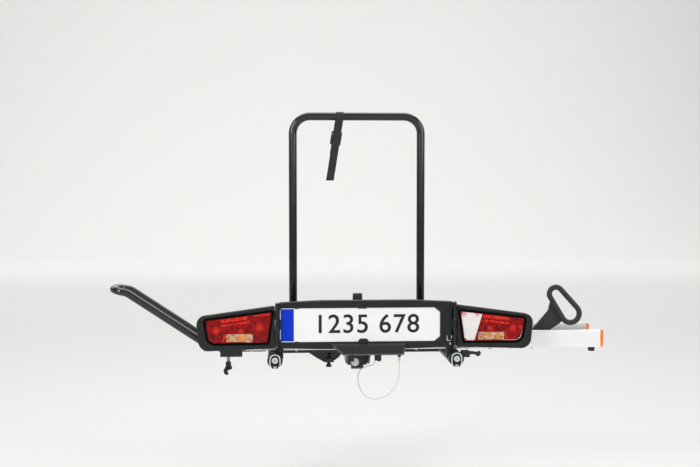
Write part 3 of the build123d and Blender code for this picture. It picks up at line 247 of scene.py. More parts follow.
def plate(name, corners, radii, back, front, rim=0.0):
    """A flat plate between two Y, from corners in X and Z with their roundings; with a rim it is a frame."""
    bpy.ops.object.select_all(action="DESELECT")
    bpy.ops.mesh.primitive_circle_add(vertices=len(corners), radius=1, fill_type="NGON")
    piece = name_piece(name)
    for corner, (x, z) in zip(piece.data.vertices, corners):
        corner.co = Vector((x, back, z)) * MM
    piece.data.update()
    places = [Vector((x, z)) for x, z in corners]
    for n, r in enumerate(radii):
        if r:
            here = places[n]
            to_last = places[n - 1] - here
            to_next = places[(n + 1) % len(places)] - here
            reach = r / math.tan(to_last.angle(to_next) / 2)
            open_piece(piece, "VERT", lambda v: abs(v.x - here.x) < 0.01 and abs(v.z - here.y) < 0.01)
            bpy.ops.mesh.bevel(offset=reach * MM, segments=7, affect="VERTICES")
            bpy.ops.object.mode_set(mode="OBJECT")
    open_piece(piece, "FACE", lambda middle, normal: True)
    if rim:
        inset(rim)
        bpy.ops.mesh.delete(type="FACE")
        bpy.ops.mesh.select_all(action="SELECT")
    push((0, front - back, 0))
    return piece


def grown(corners, by):
    """Corners of an outline moved outwards by a width, or inwards by a negative one."""
    middle = sum((Vector(c) for c in corners), Vector((0, 0))) / len(corners)
    lines = []
    for a, b in zip(corners, corners[1:] + corners[:1]):
        a, b = Vector(a), Vector(b)
        away = Vector((b.y - a.y, a.x - b.x)).normalized()
        if away.dot(a - middle) < 0:
            away.negate()
        lines.append((a + away * by, b - a))
    out = []
    for (p, u), (q, v) in zip(lines[-1:] + lines[:-1], lines):
        t = (q - p).cross(v) / u.cross(v)
        out.append(tuple(p + u * t))
    return out


def wire(name, points, r):
    """A bent round wire through points, as a mesh."""
    pick_only(round_curve(name, "POLY", points, r, 3)[0])
    bpy.ops.object.convert(target="MESH")
    return name_piece(name)


# Colours and surfaces
def linear(code):
    """An sRGB hex colour as linear light."""
    out = []
    for n in (1, 3, 5):
        v = int(code[n:n + 2], 16) / 255
        out.append(v / 12.92 if v <= 0.04045 else ((v + 0.055) / 1.055) ** 2.4)
    return (*out, 1.0)


def add_node(tree, kind, settings=None, links=None):
    """Adds a node, sets its properties and open sockets, and links its inputs."""
    node = tree.nodes.new(kind)
    for key, value in (settings or {}).items():
        if isinstance(key, int) or key in node.inputs:
            node.inputs[key].default_value = value
        else:
            setattr(node, key, value)
    for key, source in (links or {}).items():
        tree.links.new(source, node.inputs[key])
    return node


def new_surface(name, **sockets):
    """A new material with its shader's constant sockets set; a name's underscores stand for spaces."""
    surface = bpy.data.materials.new(name)
    surface.use_nodes = True
    shader = surface.node_tree.nodes["Principled BSDF"]
    for key, value in sockets.items():
        shader.inputs[key.replace("_", " ")].default_value = value
    return surface, surface.node_tree, shader


# Where the two colours of a patch start and end in the noise
DRIFT_STOPS = (0.35, 0.65)


def finish(name, colours, rough, patch, grain, depth, stretch=(1, 1, 1), wear_and_highlight=None, **sockets):
    """A surface whose colour and roughness drift over patches and whose grain is a fine relief.

    Patch and grain are real sizes and depth is the relief's height, but a moulded grain under a millimetre
    is drawn one to two millimetres wide, so that it shows. Stretch squeezes the pattern along each axis, and
    wear_and_highlight is the colour painted on the edges: partly rubbed wear, partly painted highlight.
    """
    surface, tree, shader = new_surface(name, **sockets)
    place = add_node(tree, "ShaderNodeTexCoord")
    mapped = add_node(tree, "ShaderNodeMapping", {"Scale": stretch}, {"Vector": place.outputs["Object"]})
    drift = add_node(
        tree, "ShaderNodeTexNoise", {"Scale": 1 / (patch * MM), "Detail": 3.0, "Roughness": 0.6},
        {"Vector": mapped.outputs["Vector"]},
    )
    tone = add_node(tree, "ShaderNodeValToRGB", {}, {"Fac": drift.outputs["Fac"]})
    for stop, position, code in zip(tone.color_ramp.elements, DRIFT_STOPS, colours):
        stop.position, stop.color = position, linear(code)
    colour = tone.outputs["Color"]
    # Edges painted lighter: partly rubbed wear, partly painted highlight
    if wear_and_highlight:
        rounded = add_node(tree, "ShaderNodeBevel", {"samples": 4, "Radius": 1.2 * MM})
        flat = add_node(tree, "ShaderNodeNewGeometry")
        turned = add_node(
            tree, "ShaderNodeVectorMath", {"operation": "DOT_PRODUCT"},
            {0: rounded.outputs["Normal"], 1: flat.outputs["Normal"]},
        )
        edge = add_node(
            tree, "ShaderNodeMapRange", {"From Min": 0.97, "From Max": 0.8, "To Min": 0.0, "To Max": 0.55},
            {"Value": turned.outputs["Value"]},
        )
        rub_and_highlight = add_node(
            tree, "ShaderNodeMath", {"operation": "MULTIPLY"},
            {0: edge.outputs["Result"], 1: drift.outputs["Fac"]},
        )
        blend = add_node(
            tree, "ShaderNodeMix", {"data_type": "RGBA", 7: linear(wear_and_highlight)},
            {0: rub_and_highlight.outputs["Value"], 6: colour},
        )
        colour = blend.outputs[2]
    tree.links.new(colour, shader.inputs["Base Color"])
    gloss = add_node(
        tree, "ShaderNodeMapRange", {"To Min": rough[0], "To Max": rough[1]}, {"Value": drift.outputs["Fac"]},
    )
    tree.links.new(gloss.outputs["Result"], shader.inputs["Roughness"])
    fine = add_node(
        tree, "ShaderNodeTexNoise", {"Scale": 1 / (grain * MM), "Detail": 2.0},
        {"Vector": mapped.outputs["Vector"]},
    )
    relief = add_node(
        tree, "ShaderNodeBump", {"Strength": 1.0, "Distance": depth * MM}, {"Height": fine.outputs["Fac"]},
    )
    tree.links.new(relief.outputs["Normal"], shader.inputs["Normal"])
    return surface


# Powder-coated mild steel: satin black with a faint orange peel; edges painted lighter, as rubbed grey primer
# and as painted highlight
coated_steel = finish(
    "powder_coated_steel", ("#1A1C1D", "#232627"), (0.36, 0.5), 60, 1.6, 0.03, wear_and_highlight="#5A5C5B",
)
# Stove-enamelled steel tube: deeper and glossier black, with long soft highlights
enamelled_tube = finish(
    "enamelled_steel_tube", ("#0B0C0D", "#121415"), (0.14, 0.22), 80, 4.0, 0.02, Coat_Weight=0.4,
    Coat_Roughness=0.12,
)
# Zinc-plated steel: a bright cool grey with a faint blue and yellow bloom
zinc_plate = finish(
    "zinc_plated_steel", ("#C3C9C9", "#D8D8CE"), (0.22, 0.36), 9, 0.7, 0.015, Metallic=1.0,
)
# Black-passivated zinc of the clamp and levelling screws: dark, with bright edges, partly worn by the hand
# and partly painted highlight
black_zinc = finish(
    "black_passivated_zinc", ("#262829", "#34373A"), (0.25, 0.38), 6, 0.8, 0.02, wear_and_highlight="#B9BDBD", Metallic=0.8,
)
# Zinc casting, tumbled: whiter and softer than the plated bolts
zinc_casting = finish(
    "tumbled_zinc_casting", ("#D4DAD6", "#E8ECE8"), (0.28, 0.42), 7, 1.1, 0.03, Metallic=1.0,
)
# Extruded aluminium, clear anodised: die lines run along the channel
anodised = finish(
    "anodised_aluminium_extrusion", ("#F3F5F5", "#FBFCFC"), (0.36, 0.46), 40, 1.2, 0.02, stretch=(0.02, 1, 1),
    Metallic=0.42, Anisotropic=0.3,
)


def paint_channel_shade(surface, near_y, far_y, top_z, full_z, grey):
    """Paints shade over a surface between two Y, on the inside of a channel: faint at top_z, darker
    downwards, full from full_z down.
    """
    tree = surface.node_tree
    colour = tree.nodes["Principled BSDF"].inputs["Base Color"]
    place = add_node(tree, "ShaderNodeTexCoord")
    part = add_node(tree, "ShaderNodeSeparateXYZ", {}, {"Vector": place.outputs["Object"]})
    share = None
    limits = (
        ("Y", near_y - 4, near_y + 2, 0.0), ("Y", far_y + 4, far_y + 1, 0.0), ("Z", top_z, full_z, 0.12),
    )
    for axis, start, end, least in limits:
        ramp = add_node(
            tree, "ShaderNodeMapRange", {"From Min": start * MM, "From Max": end * MM, "To Min": least},
            {"Value": part.outputs[axis]},
        )
        share = ramp.outputs["Result"] if share is None else add_node(
            tree, "ShaderNodeMath", {"operation": "MULTIPLY"}, {0: share, 1: ramp.outputs["Result"]},
        ).outputs["Value"]
    blend = add_node(
        tree, "ShaderNodeMix", {"data_type": "RGBA", 7: linear(grey)},
        {0: share, 6: colour.links[0].from_socket},
    )
    tree.links.new(blend.outputs[2], colour)


# Painted shade inside the channel, darker towards its floor
paint_channel_shade(anodised, near_y=-361.5, far_y=-202.5, top_z=147, full_z=124, grey="#C0C3C2")
# Injection-moulded ABS in orange: glossy and saturated
orange_abs = finish("moulded_orange_abs", ("#F06A10", "#FB8A22"), (0.25, 0.36), 14, 1.3, 0.02)
# Moulded polypropylene with spark-eroded grain: dark grey-black, dull, edges a little lighter as wear and
# painted highlight
grained_pp = finish(
    "moulded_grained_polypropylene", ("#1A1D1D", "#202322"), (0.44, 0.56), 45, 1.8, 0.09, wear_and_highlight="#383D3C",
    Specular_IOR_Level=0.28,
)
# Moulded ABS, lightly textured: the blacker, shinier cover and plugs, edges a little lighter as wear and
# painted highlight
black_abs = finish("moulded_black_abs", ("#131516", "#1A1C1D"), (0.28, 0.4), 30, 1.4, 0.03, wear_and_highlight="#3A3D3E")
# Nylon, moulded: knobs, grip and buckle, duller than the ABS
black_nylon = finish("moulded_black_nylon", ("#1B1C1D", "#222425"), (0.42, 0.55), 20, 1.0, 0.05)
# Acetal bearing plastic, turned: plain warm grey
acetal = finish("turned_grey_acetal", ("#8E8D88", "#9A9993"), (0.35, 0.45), 12, 0.8, 0.02)
# Moulded EPDM rubber: matte, slightly dusty
rubber = finish("moulded_epdm_rubber", ("#17181A", "#222324"), (0.7, 0.85), 18, 1.2, 0.06)
# Extruded EPDM of the hinge strips, also the near-black ring of painted shade round the lenses: blacker and
# smoother than the moulded rubber
rubber_and_shade_black = finish(
    "extruded_rubber_and_painted_shade", ("#030303", "#070707"), (0.35, 0.5), 15, 1.5, 0.02, Specular_IOR_Level=0.04,
)
# Dipped rubber coat over round bar: soft satin with a sheen
dipped_rubber = finish(
    "dipped_rubber_coat", ("#1B1D1E", "#242728"), (0.45, 0.58), 25, 2.4, 0.06, Sheen_Weight=0.15,
    Sheen_Roughness=0.4,
)
# Vacuum-metallised plastic behind the lenses: a mirror, slightly hazy
metallised = finish(
    "vacuum_metallised_plastic", ("#D8D9DB", "#E4E4E6"), (0.05, 0.12), 15, 5.0, 0.02, Metallic=1.0,
)
# Black print on the plate and the dark screws of the lamps
black_ink = finish("black_screen_ink", ("#0B0B0C", "#121213"), (0.35, 0.5), 10, 0.8, 0.01)
# Blue reflective film of the plate's band
blue_film = finish(
    "blue_reflective_film", ("#0430B8", "#0638CC"), (0.28, 0.4), 8, 1.5, 0.02, Specular_IOR_Level=0.15,
)
# Retroreflective white sheet on pressed aluminium: bright white under a thin clear film
white_sheet = finish(
    "white_reflective_sheet", ("#F1F3F1", "#F6F7F6"), (0.28, 0.32), 60, 2.2, 0.01, Coat_Weight=0.3,
    Coat_Roughness=0.1,
)


def wave_scale(width):
    """The scale at which a wave texture repeats once in each width."""
    return 2 * math.pi / (20 * width * MM)


def lens_finish(name, colours, patch, rough, rib, rib_depth, across=True, painted_glow=None, spots=(), **sockets):
    """Clear coloured acrylic whose inner side is moulded into ribs or small pillows of a real width.

    Where a spot is given by its place in X and Z and its radius, a painted glow is laid there softly, as if
    light shone through from behind.
    """
    surface, tree, shader = new_surface(name, Roughness=rough, IOR=1.49, **sockets)
    place = add_node(tree, "ShaderNodeTexCoord")
    drift = add_node(
        tree, "ShaderNodeTexNoise", {"Scale": 1 / (patch * MM), "Detail": 2.0},
        {"Vector": place.outputs["Object"]},
    )
    tone = add_node(tree, "ShaderNodeValToRGB", {}, {"Fac": drift.outputs["Fac"]})
    stops = tone.color_ramp.elements
    stops[0].position, stops[1].position = 0.36, 0.64
    for n in range(1, len(colours) - 1):
        stops.new(0.36 + 0.28 * n / (len(colours) - 1))
    for stop, colour in zip(stops, colours):
        stop.color = linear(colour)
    colour = tone.outputs["Color"]
    flat = add_node(
        tree, "ShaderNodeVectorMath", {"operation": "MULTIPLY", 1: (1, 0, 1)}, {0: place.outputs["Object"]},
    )
    for x, z, r in spots:
        away = add_node(
            tree, "ShaderNodeVectorMath", {"operation": "DISTANCE", 1: (x * MM, 0, z * MM)},
            {0: flat.outputs["Vector"]},
        )
        near = add_node(
            tree, "ShaderNodeMapRange",
            {"interpolation_type": "SMOOTHSTEP", "From Min": r * MM, "From Max": 0.15 * r * MM},
            {"Value": away.outputs["Value"]},
        )
        shine = add_node(
            tree, "ShaderNodeMix", {"data_type": "RGBA", 7: linear(painted_glow)},
            {0: near.outputs["Result"], 6: colour},
        )
        colour = shine.outputs[2]
    tree.links.new(colour, shader.inputs["Base Color"])
    upright = add_node(
        tree, "ShaderNodeTexWave", {"bands_direction": "X", "Scale": wave_scale(rib)},
        {"Vector": place.outputs["Object"]},
    )
    height = upright.outputs["Fac"]
    if across:
        level = add_node(
            tree, "ShaderNodeTexWave", {"bands_direction": "Z", "Scale": wave_scale(rib)},
            {"Vector": place.outputs["Object"]},
        )
        both = add_node(
            tree, "ShaderNodeMath", {"operation": "MULTIPLY"}, {0: height, 1: level.outputs["Fac"]},
        )
        height = both.outputs["Value"]
    relief = add_node(
        tree, "ShaderNodeBump", {"Strength": 1.0, "Distance": rib_depth * MM}, {"Height": height},
    )
    tree.links.new(relief.outputs["Normal"], shader.inputs["Normal"])
    return surface


# Red acrylic, injection moulded, with 5 mm pillow optics: deep red, with a painted glow before the reflector
# bowls
LENS_GLOW_SPOTS = (
    (-483, 157, 17), (-344, 168, 19), (-404, 155, 12), (-380, 186, 9), (480, 158, 17), (505, 163, 10),
    (404, 158, 13),
)
red_acrylic = lens_finish(
    "moulded_red_acrylic", ("#7C0004", "#C00408", "#8C0006"), 22, 0.06, 5.0, 0.05, painted_glow="#FF2C18",
    spots=LENS_GLOW_SPOTS, Transmission_Weight=0.45, Specular_IOR_Level=0.1,
)
# Orange-red reflex bars, moulded in fine upright prisms
reflex_acrylic = lens_finish(
    "moulded_orange_red_reflex_acrylic", ("#B40C08", "#F4361C"), 9, 0.16, 3.0, 0.08, across=False,
    Transmission_Weight=0.1, Specular_IOR_Level=0.2,
)
# Ribbed window: cream with pink ends, and a painted amber glow where the indicator bulb sits behind it
WINDOW_GLOW_SPOTS = ((-400, 133, 17), (-440, 128, 7), (395, 135, 8), (430, 133, 11))
ribbed_acrylic = lens_finish(
    "ribbed_amber_acrylic", ("#C87450", "#F8D6AE"), 7, 0.12, 3.5, 0.2, across=False,
    painted_glow="#FFB048", spots=WINDOW_GLOW_SPOTS, Transmission_Weight=0.2, Specular_IOR_Level=0.3,
)
# Milky acrylic of the reversing lamp: white, with a painted pink glow near its red housing
milky_acrylic = lens_finish(
    "milky_white_acrylic", ("#EFEBE8", "#F5F2F0"), 30, 0.18, 5.0, 0.02,
    painted_glow="#F49AA6", spots=((316, 209, 20), (362, 204, 12), (322, 121, 9)), Transmission_Weight=0.1,
)
# Pink edge of the reversing lamp, where the white lens meets the red housing
pink_acrylic = lens_finish(
    "pink_edge_acrylic", ("#D8283E", "#F07484"), 10, 0.14, 5.0, 0.04, Transmission_Weight=0.2,
)
# Blown glass of the bulbs
bulb_glass, _, _ = new_surface(
    "blown_bulb_glass", Base_Color=linear("#FFF6EA"), Roughness=0.02, IOR=1.45, Transmission_Weight=0.9,
)


def rope_finish():
    """Cream PVC coat over a wire rope: glossy, with the lay of the strands showing through."""
    surface, tree, shader = new_surface("pvc_coated_wire_rope", Roughness=0.32, Coat_Weight=0.2)
    place = add_node(tree, "ShaderNodeTexCoord")
    mapped = add_node(
        tree, "ShaderNodeMapping", {"Scale": (60, 1, 1), "Rotation": (0, 0, 0.4)},
        {"Vector": place.outputs["UV"]},
    )
    lay = add_node(
        tree, "ShaderNodeTexWave", {"Scale": 1.0, "Distortion": 0.4}, {"Vector": mapped.outputs["Vector"]},
    )
    tone = add_node(tree, "ShaderNodeValToRGB", {}, {"Fac": lay.outputs["Fac"]})
    tone.color_ramp.elements[0].color = linear("#D4D0C4")
    tone.color_ramp.elements[1].color = linear("#EFEDE4")
    tree.links.new(tone.outputs["Color"], shader.inputs["Base Color"])
    relief = add_node(
        tree, "ShaderNodeBump", {"Strength": 0.6, "Distance": 0.15 * MM}, {"Height": lay.outputs["Fac"]},
    )
    tree.links.new(relief.outputs["Normal"], shader.inputs["Normal"])
    return surface


coated_rope = rope_finish()


def webbing_finish():
    """Woven polyester webbing: 1.6 mm warp ribs crossed by the weft, matte with a slight sheen."""
    surface, tree, shader = new_surface(
        "woven_polyester_webbing", Roughness=0.78, Sheen_Weight=0.35, Sheen_Roughness=0.5,
    )
    place = add_node(tree, "ShaderNodeTexCoord")
    bands = wave_scale(1.6)
    warp = add_node(
        tree, "ShaderNodeTexWave", {"bands_direction": "X", "Scale": bands}, {"Vector": place.outputs["UV"]},
    )
    weft = add_node(
        tree, "ShaderNodeTexWave", {"bands_direction": "Y", "Scale": bands, "Phase Offset": 1.6},
        {"Vector": place.outputs["UV"]},
    )
    weave = add_node(
        tree, "ShaderNodeMath", {"operation": "MULTIPLY"}, {0: warp.outputs["Fac"], 1: weft.outputs["Fac"]},
    )
    tone = add_node(tree, "ShaderNodeValToRGB", {}, {"Fac": weave.outputs["Value"]})
    tone.color_ramp.elements[0].color = linear("#0E0F11")
    tone.color_ramp.elements[1].color = linear("#2B2D31")
    tree.links.new(tone.outputs["Color"], shader.inputs["Base Color"])
    relief = add_node(
        tree, "ShaderNodeBump", {"Strength": 1.0, "Distance": 0.3 * MM}, {"Height": weave.outputs["Value"]},
    )
    tree.links.new(relief.outputs["Normal"], shader.inputs["Normal"])
    return surface


webbing = webbing_finish()
# Polyester sewing thread, a tone lighter than the webbing
thread = finish("grey_sewing_thread", ("#4A4C50", "#5C5E62"), (0.6, 0.75), 3, 0.5, 0.03)

# Finishes of the frame's own nodes
NODE_FINISHES = {
    coated_steel: (
        "coupling_head", "coupling_side_plates", "clamp_jaw", "clamp_lever", "frame_tubes", "front_beam",
        "rear_beam", "hinge_block", "board_posts", "hoop_bracket", "arch_sockets", "release_brackets",
        "ring_bracket", "side_lever",
    ),
    enamelled_tube: ("front_wheel_bar", "support_arch"),
    zinc_plate: (
        "coupling_pins", "jaw_bolt", "channel_bolts", "ring_pivot_bolt", "release_rod", "tilt_pawl",
        "wing_pins",
    ),
    black_zinc: ("hoop_clamp_screw", "levelling_screw"),
    zinc_casting: ("lock_ring_left", "lock_ring_right"),
    anodised: ("wheel_channel",),
    orange_abs: ("channel_end_caps",),
    grained_pp: (
        "light_board", "wing_frame_left", "wing_frame_right", "wing_back_shell_left", "wing_back_shell_right",
    ),
    black_abs: (
        "pedal_cover", "plate_clips", "lock_plug_left", "lock_plug_right", "tube_caps", "bar_end_plugs",
    ),
    black_nylon: ("clamp_lever_grip", "arch_knob_left", "arch_knob_right", "strap_buckle"),
    acetal: ("tilt_bushes",),
    rubber: ("rubber_pads",),
    dipped_rubber: ("rear_wheel_ring", "ring_arm"),
    red_acrylic: ("lens_red_left", "lens_red_right", "lens_inner_left"),
    pink_acrylic: ("lens_inner_right",),
    ribbed_acrylic: ("lens_window_left", "lens_window_right"),
    metallised: ("reflector_tray_left", "reflector_tray_right"),
    white_sheet: ("number_plate",),
    webbing: ("strap_webbing",),
    coated_rope: ("safety_cable",),
}
for surface, names in NODE_FINISHES.items():
    for name in names:
        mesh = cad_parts[name].data
        mesh.materials.clear()
        mesh.materials.append(surface)


def fit(piece, body, surface):
    """Gives a finished piece its surface and lets it move with its body."""
    piece.data.materials.clear()
    piece.data.materials.append(surface)
    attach(piece, body)
    return piece


def fit_pair(piece, surface):
    """Fits a piece to the right wing and a mirrored copy of it to the left one, and returns both."""
    other = twin(piece, piece.name.replace("_right", "_left"))
    return fit(piece, "wing_right", surface), fit(other, "wing_left", surface)


# The cable with a pressed ferrule at each end
def ferrule(name, top, low):
    """A pressed sleeve on the cable, waisted by the crimping tool."""
    piece = bar(name, (*top[:2], low), top, 3.4, 20)
    open_piece(piece, "EDGE", lambda a, b: abs(a.z - b.z) > 1)
    bpy.ops.mesh.subdivide(number_cuts=4)
    height = top[2] - low
    bpy.ops.object.mode_set(mode="OBJECT")
    for share in (0.2, 0.6):
        open_piece(piece, "VERT", lambda v: abs(v.z - low - share * height) < 0.6)
        bpy.ops.transform.resize(value=(0.84, 0.84, 1), center_override=(top[0] * MM, top[1] * MM, 0))
        bpy.ops.object.mode_set(mode="OBJECT")
    return close_piece(piece, 0.5)


ferrules = together("cable_ferrules", [
    ferrule("rear_ferrule", CABLE_ROUTE[0], 46), ferrule("front_ferrule", CABLE_ROUTE[-1], 14),
])
wire_rope.data.materials.append(coated_rope)
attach(wire_rope, "platform")
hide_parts("safety_cable")
fit(ferrules, "platform", zinc_plate)

# Strap: flat webbing from its rear end, up over the arch and down to the buckle
STRAP_X, ARCH_Y, ARCH_TOP = -69.0, -140.0, 860.0
STRAP_W, STRAP_T, STRAP_R = 27.0, 1.6, 15.3
STRAP_ANGLE = math.radians(9)
STRAP_LEAN = math.tan(STRAP_ANGLE)
STRAP_REAR, STRAP_FRONT = 222.0, 130.0


def strap_rear_y(drop):
    """Y of the strap's rear run, which waves a little below the arch."""
    return ARCH_Y - STRAP_R + 1.1 * math.sin(drop / 31) * min(1, drop / 60)


def strap_line():
    """Points along the middle of the strap, from its rear end to its front end."""
    points = []
    steps = 44
    for n in range(steps + 1):
        drop = STRAP_REAR * (1 - n / steps)
        points.append((STRAP_X - drop * STRAP_LEAN, strap_rear_y(drop), ARCH_TOP - drop))
    for n in range(1, 16):
        turn = math.pi * n / 16
        points.append((STRAP_X, ARCH_Y - STRAP_R * math.cos(turn), ARCH_TOP + STRAP_R * math.sin(turn)))
    steps = 26
    for n in range(steps + 1):
        drop = STRAP_FRONT * n / steps
        points.append((STRAP_X - drop * STRAP_LEAN, ARCH_Y + STRAP_R, ARCH_TOP - drop))
    return points


def hang_strap():
    """The webbing as a strip of quads with its own UV map in metres, thickened and rounded."""
    points = strap_line()
    lanes = 6
    mesh = bpy.data.meshes.new("strap_webbing_sheet")
    corners, faces, ways = [], [], [0.0]
    for a, b in zip(points, points[1:]):
        ways.append(ways[-1] + (Vector(b) - Vector(a)).length)
    for x, y, z in points:
        for lane in range(lanes + 1):
            corners.append(((x + (lane / lanes - 0.5) * STRAP_W) * MM, y * MM, z * MM))
    for row in range(len(points) - 1):
        for lane in range(lanes):
            first = row * (lanes + 1) + lane
            faces.append((first, first + 1, first + lanes + 2, first + lanes + 1))
    mesh.from_pydata(corners, [], faces)
    layer = mesh.uv_layers.new(name="weave")
    for loop in mesh.loops:
        row, lane = divmod(loop.vertex_index, lanes + 1)
        layer.data[loop.index].uv = (lane / lanes * STRAP_W * MM, ways[row] * MM)
    piece = new_object("strap_webbing_sheet", mesh)
    sharp = math.radians(50)
    apply_modifier(piece, "SOLIDIFY", thickness=STRAP_T * MM, offset=0.0)
    apply_modifier(piece, "BEVEL", width=0.5 * MM, segments=2, limit_method="ANGLE", angle_limit=sharp)
    pick_only(piece)
    bpy.ops.object.shade_smooth_by_angle(angle=sharp)
    return piece


strap = hang_strap()
fit(strap, "arch", webbing)
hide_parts("strap_webbing")

# Light wings: what sits on and behind the lenses, made for the right wing and copied to the left one
LENS = [(302, 216), (316, 118), (508, 117), (520, 189)]
LENS_FRONT = -438.0
# Inner edge and width of the black ring of painted shade round the lens
SHADE_RING_IN = [(305.8, 215.5), (319.6, 118.0), (506.5, 117.0), (518, 189.3)]
SHADE_RING_W = 7.2
RIB_STEP = 3.5
TRAY_FRONT = -425.5
# Place of each bulb in X and Z, and the radius of the bowl behind it
BULBS = ((346, 168, 19.0), (410, 133, 14.0), (480, 158, 19.0))


def lens_shade_ring():
    """A black ring round the lens, which laps over the frame's edge: painted shade where the lens is set back
    in the frame.
    """
    outer = grown(SHADE_RING_IN, SHADE_RING_W)
    piece = plate("lens_gasket_right", outer, (8, 9, 30, 12), LENS_FRONT + 0.1, LENS_FRONT - 3.0, SHADE_RING_W)
    return close_piece(piece, 0.7)


def lens_lip():
    """Raised glossy lip that runs round the lens inside the seal."""
    piece = plate("lens_lip_right", grown(SHADE_RING_IN, 0.1), (1, 2, 23, 5), LENS_FRONT, LENS_FRONT - 1.2, 1.6)
    return close_piece(piece, 0.5)


def reflex_bars():
    """Two slanting reflex bars and the slanting rib outside the window."""
    shapes = (
        ((381, 203.5), (380, 193), (466, 182), (471, 192)),
        ((378, 188.5), (377, 181.5), (464, 169.5), (466, 176.5)),
        ((453, 145), (457, 119.8), (464.8, 119.8), (459.5, 145)),
    )
    pieces = []
    for n, corners in enumerate(shapes):
        piece = plate(f"reflex_{n}", list(corners), (1.5, 1.5, 1.5, 1.5), LENS_FRONT + 0.2, LENS_FRONT - 1.3)
        pieces.append(close_piece(piece, 0.6))
    return together("reflex_bars_right", pieces)


def window_ribs():
    """Upright ribs on the window."""
    rib = block("window_ribs_right", (367.2, LENS_FRONT - 0.8, 122), (369.4, LENS_FRONT + 0.2, 145))
    return repeat(close_piece(rib, 0.5), 24, (RIB_STEP, 0, 0))


def reflector_bowls():
    """Metallised tray with a deep bowl round each bulb."""
    tray = plate("reflector_bowls_right", grown(LENS, -2.2), (3, 4, 22, 6), TRAY_FRONT + 2.5, TRAY_FRONT)
    close_piece(tray)
    bowls = []
    for n, (x, z, r) in enumerate(BULBS):
        cut(tray, bar(f"bowl_hole_{n}", (x, -430, z), (x, -418, z), r - 0.4, 40))
        bowl = ball(f"bowl_{n}", (x, TRAY_FRONT, z), r, 20, (1, 13 / r, 1))
        open_piece(bowl, "FACE", lambda middle, normal: middle.y < TRAY_FRONT)
        bpy.ops.mesh.delete(type="FACE")
        bpy.ops.object.mode_set(mode="OBJECT")
        apply_modifier(bowl, "SOLIDIFY", thickness=0.8 * MM, offset=1.0)
        bowls.append(close_piece(bowl))
    return together("reflector_bowls_right", [tray, *bowls])


def bulb_set():
    """Glass bulbs with their metal caps."""
    glasses, caps = [], []
    for n, (x, z, _) in enumerate(BULBS):
        glasses.append(close_piece(ball(f"glass_{n}", (x, -429.5, z), 5.2, 12, (1, 1.05, 1))))
        cap = bar(f"cap_{n}", (x, -426.0, z), (x, -414.5, z), 4.6, 24)
        step_side(cap, REARWARD, ((0.8, 1.6),))
        caps.append(close_piece(cap, 0.4))
    return together("bulb_glasses_right", glasses), together("bulb_caps_right", caps)


def lamp_screws():
    """Dark screws that hold the lens at its inner end, each with a hexagon socket."""
    heads = []
    for n, (x, z) in enumerate(((311.2, 210.3), (323, 123.2))):
        head = bar(f"lamp_screw_{n}", (x, LENS_FRONT + 0.2, z), (x, LENS_FRONT - 1.6, z), 3.1, 24)
        cut(head, bar(f"socket_{n}", (x, LENS_FRONT - 0.6, z), (x, LENS_FRONT - 3, z), 1.5, 6))
        heads.append(close_piece(head, 0.3))
    return together("lamp_screws_right", heads)


lamp_glasses, lamp_caps = bulb_set()
LAMP_PIECES = (
    (lens_shade_ring(), "rubber", rubber_and_shade_black), (lens_lip(), "red_lens", red_acrylic),
    (reflex_bars(), "red_lens", reflex_acrylic), (window_ribs(), "amber_lens", ribbed_acrylic),
    (reflector_bowls(), "reflector", metallised), (lamp_glasses, "clear_lens", bulb_glass),
    (lamp_caps, "zinc", zinc_plate), (lamp_screws(), "black_plastic", black_ink),
)
for piece, slot_name, surface in LAMP_PIECES:
    right, left = fit_pair(piece, surface)
    if slot_name == "reflector":
        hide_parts("reflector_tray_right")
        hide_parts("reflector_tray_left")


# Lamp details of one side only: edge strip and glint on the left, reversing panel and bright wire on the
# right
def lens_piece(name, corners, round_corners, proud):
    """A flat moulding that stands proud of the lens."""
    return close_piece(plate(name, corners, round_corners, LENS_FRONT + 0.2, LENS_FRONT - proud), 0.3)


panel_corners = [(308, 213), (321.6, 119.8), (353, 119.4), (378.5, 204.6)]
panel = lens_piece("reversing_panel", panel_corners, (3, 3, 1.5, 1.5), 0.8)
fit(panel, "wing_right", milky_acrylic)
strip_corners = [(-368, 205.6), (-368, 200.8), (-309, 208), (-309, 212.8)]
fit(lens_piece("edge_strip", strip_corners, (1, 1, 1, 1), 1.1), "wing_left", reflex_acrylic)
# The bright wire and the glint are painted highlights: metallised wires laid along the lens's lower edge
HIGHLIGHT_X, HIGHLIGHT_Z, HIGHLIGHT_R = 486.9, 140.2, 20.5
HIGHLIGHT_Y, GLINT_Y = LENS_FRONT - 0.7, LENS_FRONT - 0.6
highlight_points = [(446, HIGHLIGHT_Y, 119.7)]
for n in range(13):
    turn = math.radians(-90 + 80 * n / 12)
    highlight_points.append((HIGHLIGHT_X + HIGHLIGHT_R * math.cos(turn), HIGHLIGHT_Y, HIGHLIGHT_Z + HIGHLIGHT_R * math.sin(turn)))
highlight_points.append((510, HIGHLIGHT_Y, 155))
fit(close_piece(wire("highlight_wire", highlight_points, 1.0)), "wing_right", metallised)
glint = wire("low_glint", [(-391, GLINT_Y, 119.9), (-371, GLINT_Y, 119.8)], 0.9)
fit(close_piece(glint), "wing_left", metallised)


def optics(side, spots):
    """Low round domes moulded on the lens before the bulbs."""
    domes = []
    for n, (x, z, r) in enumerate(spots):
        domes.append(close_piece(ball(f"optic_{n}", (x, LENS_FRONT, z), r, 14, (1, 0.16, 1))))
    fit(together(f"round_optics_{side}", domes), f"wing_{side}", red_acrylic)


optics("left", ((-483, 157, 8), (-344, 168, 9)))
optics("right", ((480, 158, 8), (404, 158, 6)))

